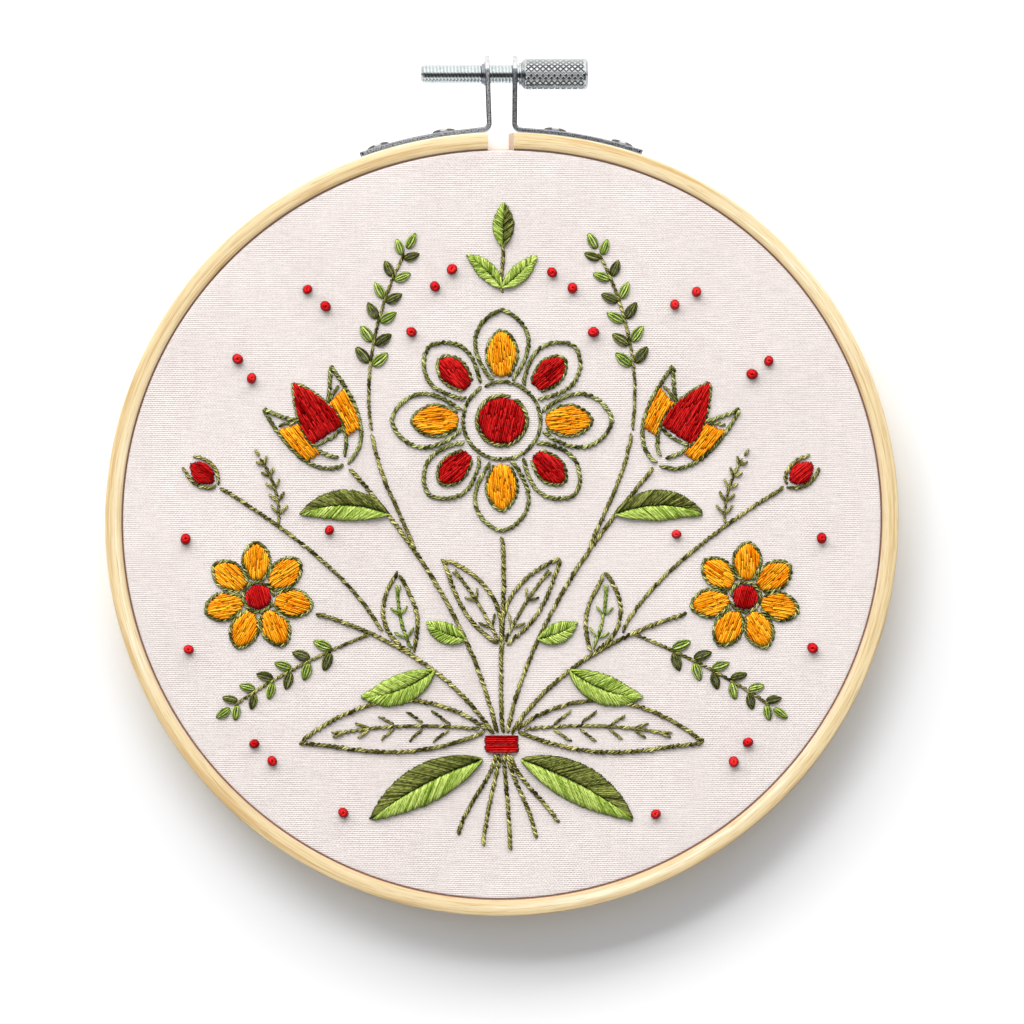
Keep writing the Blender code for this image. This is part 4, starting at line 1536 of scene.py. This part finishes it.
# ----------------------------------------------------------------- thread work
class Threads:
    """Gathers thread tubes by piece and colour and joins them into meshes."""

    def __init__(self, seed):
        self.rng = np.random.default_rng(seed)
        self.parts = {}

    def tubes(self, key, lines, radius, shade, sides=5, flat=0.85, spin=0.0):
        """lines (N, K, 3) in mm; radius (N, K) or (K,) in mm; shade (N,)."""
        n, k, _ = lines.shape
        radius = np.broadcast_to(radius, (n, k))
        ahead = np.gradient(lines, axis=1)
        ahead /= np.maximum(1e-9, np.linalg.norm(ahead, axis=2, keepdims=True))
        side = np.stack([-ahead[..., 1], ahead[..., 0], 0 * ahead[..., 0]], -1)
        side /= np.maximum(1e-6, np.linalg.norm(side, axis=2, keepdims=True))
        up = np.cross(ahead, side)
        a = np.linspace(0, 2 * np.pi, sides, endpoint=False) + 0.3
        ca, sa = np.cos(a)[None, None, :, None], np.sin(a)[None, None, :, None]
        r = radius[..., None, None]
        verts = lines[:, :, None, :] + side[:, :, None, :] * ca * r + up[:, :, None, :] * sa * r * flat
        step = np.linalg.norm(np.diff(lines, axis=1), axis=2)
        run = np.concatenate([np.zeros((n, 1)), np.cumsum(step, axis=1)], axis=1)
        run = run + self.rng.uniform(0, 200, (n, 1))
        turn = np.broadcast_to(a[None, None, :], (n, k, sides))
        strand = np.stack(
            [np.cos(turn), np.sin(turn), np.broadcast_to(run[..., None], turn.shape)], -1
        )
        # shade: the stitch's tone, how far up each point faces (for painted light and shade) and its height (for
        # painted shade near the cloth)
        shade = np.stack(
            [
                np.broadcast_to(np.asarray(shade)[:, None, None], (n, k, sides)),
                np.broadcast_to(np.sin(a)[None, None, :], (n, k, sides)),
                np.broadcast_to(lines[:, :, None, 2], (n, k, sides)),
            ],
            -1,
        )
        i, j = np.meshgrid(np.arange(k - 1), np.arange(sides), indexing="ij")
        j2 = (j + 1) % sides
        quad = np.stack([i * sides + j, i * sides + j2, (i + 1) * sides + j2, (i + 1) * sides + j], -1)
        quad = quad.reshape(1, -1, 4) + (np.arange(n) * k * sides)[:, None, None]
        store = self.parts.setdefault(key, [[], [], [], [], 0])
        store[0].append(verts.reshape(-1, 3))
        store[1].append(quad.reshape(-1, 4) + store[4])
        store[2].append(strand.reshape(-1, 3))
        store[3].append(shade.reshape(-1, 3))
        store[4] += n * k * sides

    def plied(self, key, lines, width, shade, plies=2, turn=-2.3, sides=5, loose=0.5):
        """Each line becomes strands twisted about it; width (N,) in mm."""
        n, k, _ = lines.shape
        width = np.broadcast_to(width, (n,))
        ahead = np.gradient(lines, axis=1)
        ahead /= np.maximum(1e-9, np.linalg.norm(ahead, axis=2, keepdims=True))
        side = np.stack([-ahead[..., 1], ahead[..., 0], 0 * ahead[..., 0]], -1)
        side /= np.maximum(1e-6, np.linalg.norm(side, axis=2, keepdims=True))
        up = np.cross(ahead, side)
        step = np.linalg.norm(np.diff(lines, axis=1), axis=2)
        run = np.concatenate([np.zeros((n, 1)), np.cumsum(step, axis=1)], axis=1)
        start = 0.6 - turn * run[:, -1:] / 2 + self.rng.normal(0, loose, (n, 1))
        t = np.linspace(0, 1, k)
        taper = 0.40 + 0.60 * np.clip(np.sin(np.pi * t) * 1.15, 0, 1) ** 0.8
        for p in range(plies):
            angle = start + 2 * np.pi * p / plies + turn * run
            out = (width * (0.25 if plies == 2 else 0.27))[:, None] * taper[None, :]
            c = lines + side * (np.cos(angle) * out)[..., None] + up * (np.sin(angle) * out * 0.55)[..., None]
            thick = (width * (0.285 if plies == 2 else 0.25))[:, None] * taper[None, :]
            tone = shade + self.rng.normal(0, 0.10, n)
            self.tubes(key, c, thick, tone, sides=sides, flat=0.95, spin=3.0)

    # ---- kinds of stitch
    def stem_rope(self, key, path, width):
        """Stem stitch: each stitch starts beside the middle of the one before."""
        rng = self.rng
        d = np.concatenate([[0], np.cumsum(np.linalg.norm(np.diff(path, axis=0), axis=1))])
        total = d[-1]
        advance = 1.20 * (0.80 + 0.20 * width)
        count = max(1, int(round(total / advance)) - 1)
        advance = total / (count + 1)
        long = advance * 1.66
        begin = np.arange(count) * advance + rng.normal(0, 0.05, count)
        length = long * rng.normal(1.0, 0.04, count)
        k = 9
        t = np.linspace(0, 1, k)
        s = np.clip(begin[:, None] + length[:, None] * t[None, :], 0, total)
        # beyond the ends the thread goes straight down
        x = np.interp(s, d, path[:, 0])
        y = np.interp(s, d, path[:, 1])
        e = 0.06
        tx = np.interp(s + e, d, path[:, 0]) - np.interp(s - e, d, path[:, 0])
        ty = np.interp(s + e, d, path[:, 1]) - np.interp(s - e, d, path[:, 1])
        m = np.maximum(1e-9, np.hypot(tx, ty))
        nx, ny = -ty / m, tx / m
        width = width * 1.26
        off = width * (-0.25 + 0.50 * t)[None, :] + rng.normal(0, 0.028, (count, 1)) * width
        x, y = x + nx * off, y + ny * off
        arch = 1 - np.abs(2 * t - 1) ** 2.6
        # the second half rides over the stitch that follows beside it
        z = -0.26 + (0.26 + 0.12 * width) * arch[None, :] + 0.08 * width * np.sin(np.pi * t)[None, :]
        z = z + rng.normal(0, 0.020, (count, 1)) * arch[None, :]
        lines = np.stack([x, y, z], -1)
        tone = 0.5 + rng.normal(0, 0.22, count)
        self.plied(key, lines, 0.62 * width * rng.normal(1.0, 0.05, count), tone, turn=-2.1)

    def straight(self, key, starts, ends, width, plies=2):
        rng = self.rng
        starts, ends = np.atleast_2d(starts), np.atleast_2d(ends)
        n, k = len(starts), 9
        t = np.linspace(0, 1, k)[None, :]
        x = starts[:, :1] * (1 - t) + ends[:, :1] * t
        y = starts[:, 1:] * (1 - t) + ends[:, 1:] * t
        arch = 1 - np.abs(2 * t - 1) ** 5
        z = -0.24 + (0.24 + 0.40 * width) * arch + np.zeros((n, k))
        lines = np.stack([x, y, z], -1)
        self.plied(key, lines, width * 0.86 * rng.normal(1, 0.04, n), 0.5 + rng.normal(0, 0.12, n), plies=plies, turn=-2.6)

    def satin(self, key, starts, ends, width):
        """Flat stitches side by side, a little padded and not quite even."""
        rng = self.rng
        n, k = len(starts), 10
        length = np.linalg.norm(ends - starts, axis=1)
        along = (ends - starts) / np.maximum(1e-6, length)[:, None]
        across = np.stack([-along[:, 1], along[:, 0]], -1)
        u = np.array([0, 0.05, 0.13, 0.26, 0.42, 0.58, 0.74, 0.87, 0.95, 1.0])
        bow = rng.normal(0, 0.055, (n, 1)) * np.sin(np.pi * u)[None, :]
        reach = rng.normal(0, 0.09, (n, 2))
        a = starts + along * reach[:, :1]
        b = ends + along * reach[:, 1:]
        x = a[:, :1] * (1 - u) + b[:, :1] * u + across[:, :1] * bow
        y = a[:, 1:] * (1 - u) + b[:, 1:] * u + across[:, 1:] * bow
        arch = 1 - np.abs(2 * u - 1) ** 7
        puff = 0.30 + 0.030 * np.minimum(length, 6.0) + rng.normal(0, 0.035, n)
        z = -0.24 + (0.24 + puff[:, None]) * arch[None, :] + 0.05 * np.sin(np.pi * u)[None, :]
        lines = np.stack([x, y, z], -1)
        thick = 0.5 * width * rng.normal(1.0, 0.08, (n, 1)) * (0.66 + 0.34 * np.clip(np.sin(np.pi * u) * 3, 0, 1))[None, :]
        self.tubes(key, lines, thick, 0.5 + rng.normal(0, 0.18, n), sides=6, flat=0.86, spin=2.6)

    def loop_leaf(self, key, root, ahead, across):
        """Four strands making one small leaf, pinched at both ends."""
        rng = self.rng
        t = np.linspace(0, 1, 11)
        swell = np.sin(np.pi * t**0.86) ** 0.8
        rows = []
        for f, lift in ((1.0, 0.24), (-1.0, 0.24), (0.36, 0.40), (-0.36, 0.40)):
            f = f + rng.normal(0, 0.05)
            p = root + ahead * (t * rng.normal(1, 0.02))[:, None] + across * (f * swell)[:, None]
            z = -0.22 + (0.22 + lift) * (1 - np.abs(2 * t - 1) ** 5)
            rows.append(np.column_stack([p, z]))
        lines = np.array(rows)
        size = np.linalg.norm(ahead)
        thick = np.array([0.21, 0.21, 0.23, 0.23])[:, None] * (size / 4.2) ** 0.5 * (0.7 + 0.3 * swell)[None, :]
        self.tubes(key, lines, thick, 0.5 + rng.normal(0, 0.17, 4), sides=6, flat=0.9, spin=2.4)

    def french_knot(self, key, x, y, size):
        rng = self.rng
        k = 64
        t = np.linspace(0, 1, k)
        a0 = rng.uniform(0, 6.28)
        a = a0 + t * 2 * np.pi * 3.3
        r = np.interp(t, [0, 0.10, 0.45, 0.72, 0.90, 1.0], [0.50, 0.66, 0.60, 0.40, 0.26, 0.12]) * size
        z = np.interp(t, [0, 0.10, 0.40, 0.70, 0.90, 1.0], [-0.2, 0.26, 0.44, 0.74, 0.84, 0.50]) * size
        r = r * (1 + 0.10 * np.sin(2 * a + a0)) + 0.02 * rng.normal()
        tilt = rng.normal(0, 0.10, 2)
        px, py = r * np.cos(a), r * np.sin(a)
        z = z + px * tilt[0] + py * tilt[1]
        lines = np.stack([x + px, y + py, z], -1)[None]
        self.tubes(key, lines, np.full((1, k), 0.30 * size), np.array([0.5 + rng.normal(0, 0.1)]), sides=7, flat=1.0, spin=2.2)

    # ---- the finished meshes
    def finish(self, names):
        pieces = []
        for key, (verts, quads, strand, shade, _) in self.parts.items():
            verts = np.vstack(verts)
            verts[:, 2] += cloth_height(verts[:, 0] * MM, verts[:, 1] * MM) / MM
            verts = verts * MM + np.array([0, CENTRE_Y, CLOTH_TOP])
            piece, colour = key
            obj = make_mesh(
                names.format(piece=piece, colour=colour),
                verts,
                np.vstack(quads)[:, ::-1],
                THREADS[colour],
                attrs={"strand": np.vstack(strand), "shade": np.vstack(shade)},
            )
            pieces.append(obj)
        return pieces


def stitch_posy():
    design = posy()
    work = Threads(905)
    for path, colour, width in design.ropes:
        dense = resample(path, 0.25)
        r = np.hypot(*dense.mean(0))
        piece = "outlines" if colour == "sage" else ("stems_low" if dense[:, 1].mean() < -24 else "stems_high")
        work.stem_rope((piece, colour), dense, width)
    for a, b, colour, width in design.singles:
        work.straight(("veins", colour), a[None], b[None], width)
    for starts, ends, colour, width in design.satins:
        work.satin(("satin", colour), starts, ends, width)
    for root, ahead, across, colour in design.loops:
        work.loop_leaf(("sprigs", colour), root, ahead, across)
    for x, y, colour, size in design.knots:
        work.french_knot(("knots", "knot_red" if colour == "red" else colour), x, y, size * 1.10)
    return work.finish("thread_{piece}_{colour}")


# ======== picture: ends

# ------------------------------------------------------------- light and camera
def look_at(obj, target):
    direction = Vector(target) - obj.location
    obj.rotation_euler = direction.to_track_quat("-Z", "Y").to_euler()


def area_light(name, place_at, target, size, power, colour=(1, 1, 1), size_y=None):
    data = bpy.data.lights.new(name, "AREA")
    data.shape = "RECTANGLE"
    data.size = size
    data.size_y = size_y or size
    data.energy = power
    data.color = colour
    obj = bpy.data.objects.new(name, data)
    bpy.context.scene.collection.objects.link(obj)
    obj.location = place_at
    look_at(obj, target)
    return obj


def make_stage():
    bm = bmesh.new()
    bmesh.ops.create_grid(bm, x_segments=1, y_segments=1, size=3.0)
    mesh = bpy.data.meshes.new("floor")
    bm.to_mesh(mesh)
    bm.free()
    floor = bpy.data.objects.new("floor", mesh)
    floor.location = (0, 0, -0.00005)
    bpy.context.scene.collection.objects.link(floor)
    n = Nodes("white_floor")
    n.bsdf.inputs["Base Color"].default_value = (0.875, 0.875, 0.875, 1)
    n.bsdf.inputs["Roughness"].default_value = 0.9
    n.bsdf.inputs["Specular IOR Level"].default_value = 0.1
    mesh.materials.append(n.mat)
    floor.visible_glossy = False

    scene = bpy.context.scene
    scene.view_settings.view_transform = "Standard"
    scene.view_settings.look = "None"
    scene.view_settings.exposure = 0.0
    scene.view_settings.gamma = 1.0

    world = bpy.data.worlds.new("studio")
    scene.world = world
    world.use_nodes = True
    tree = world.node_tree
    link = tree.links.new
    background = tree.nodes["Background"]
    background.inputs["Strength"].default_value = 1.0

    def sky_ramp(value, stops, blue=1.03):
        node = tree.nodes.new("ShaderNodeValToRGB")
        link(value, node.inputs[0])
        elements = node.color_ramp.elements
        while len(elements) < len(stops):
            elements.new(0.5)
        for element, (where, grey) in zip(elements, stops):
            element.position = where
            element.color = (grey, grey * 1.01, grey * blue, 1)
        return node.outputs[0]

    def sky_math(op, first, second):
        node = tree.nodes.new("ShaderNodeMath")
        node.operation = op
        for socket, value in zip(node.inputs, (first, second)):
            if isinstance(value, (int, float)):
                socket.default_value = value
            else:
                link(value, socket)
        return node.outputs[0]

    # an even room, a little darker overhead
    coord = tree.nodes.new("ShaderNodeTexCoord").outputs["Generated"]
    dot = tree.nodes.new("ShaderNodeVectorMath")
    dot.operation = "DOT_PRODUCT"
    dot.inputs[1].default_value = (0.0, -0.208, 0.978)
    link(coord, dot.inputs[0])
    room = sky_ramp(
        dot.outputs["Value"],
        [(0.0, 0.585), (0.72, 0.60), (0.865, 0.585), (0.91, 0.265), (0.94, 0.035)],
    )
    # what bright metal mirrors: the dark of the ceiling and the camera lies
    # right across overhead, with the pale room before it and behind it
    split = tree.nodes.new("ShaderNodeSeparateXYZ")
    link(coord, split.inputs[0])
    lean = sky_math("ARCTAN2", split.outputs[1], split.outputs[2])
    place_on = sky_math("ADD", sky_math("DIVIDE", lean, math.radians(360)), 0.5)
    ahead = sky_ramp(place_on, [((row[0] + 180) / 360, row[1]) for row in MIRRORED], blue=1.01)
    aside = sky_ramp(place_on, [((row[0] + 180) / 360, row[2]) for row in MIRRORED], blue=1.01)
    wide = sky_math("ABSOLUTE", split.outputs[0], 0.0)
    side = tree.nodes.new("ShaderNodeMapRange")
    side.inputs["From Min"].default_value = 0.50
    side.inputs["From Max"].default_value = 0.72
    link(wide, side.inputs["Value"])
    mirrored = tree.nodes.new("ShaderNodeMix")
    mirrored.data_type = "RGBA"
    link(side.outputs[0], mirrored.inputs["Factor"])
    link(ahead, mirrored.inputs[6])
    link(aside, mirrored.inputs[7])
    ray = tree.nodes.new("ShaderNodeLightPath")
    sky = tree.nodes.new("ShaderNodeMix")
    sky.data_type = "RGBA"
    link(ray.outputs["Is Glossy Ray"], sky.inputs["Factor"])
    link(room, sky.inputs[6])
    link(mirrored.outputs[2], sky.inputs[7])
    link(sky.outputs[2], background.inputs["Color"])

    middle = (0.0, CENTRE_Y, 0.0)
    key = area_light("key", (-0.678, 2.279, 1.829), middle, 2.584, KEY_POWER, size_y=0.492)
    window = area_light("window", (-0.678, 2.679, 1.167), middle, 8.526, WINDOW_POWER, size_y=0.915)

    camera = bpy.data.cameras.new("camera")
    camera.lens = 400.0
    camera.sensor_width = 36.0
    camera.clip_end = 10.0
    obj = bpy.data.objects.new("camera", camera)
    scene.collection.objects.link(obj)
    wide = 1024 * 0.202 * MM
    distance = wide * camera.lens / camera.sensor_width
    obj.location = (
        (512.0 - 501.85) * 0.202 * MM,
        CENTRE_Y + (520.31 - 512.0) * 0.202 * MM,
        7.5 * MM + distance,
    )
    obj.rotation_euler = (0, 0, 0)
    scene.camera = obj
    return key, window


lamps = make_stage()
make_outer_ring()
make_inner_ring()
CLOTH = make_cloth()
for bracket_name, bracket_spec in BRACKETS.items():
    make_bracket(bracket_name, bracket_spec)
make_rivets()
make_screw()
stitch_posy()

# the clamp's soft shadow would grey the gap that the photograph shows white,
# and its bright metal is lit by the room alone, as the lamps would burn it out
hardware = bpy.data.collections.new("hardware")
for piece in bpy.data.objects:
    if piece.name.startswith(("bracket_", "rivet_", "screw_")) and piece.type == "MESH":
        piece.visible_shadow = False
        piece.visible_diffuse = False
        hardware.objects.link(piece)
    elif piece.name.startswith(("hoop_", "cloth_")):
        piece.visible_glossy = False
for entry in hardware.collection_objects:
    entry.light_linking.link_state = "EXCLUDE"
for lamp in lamps:
    lamp.light_linking.receiver_collection = hardware
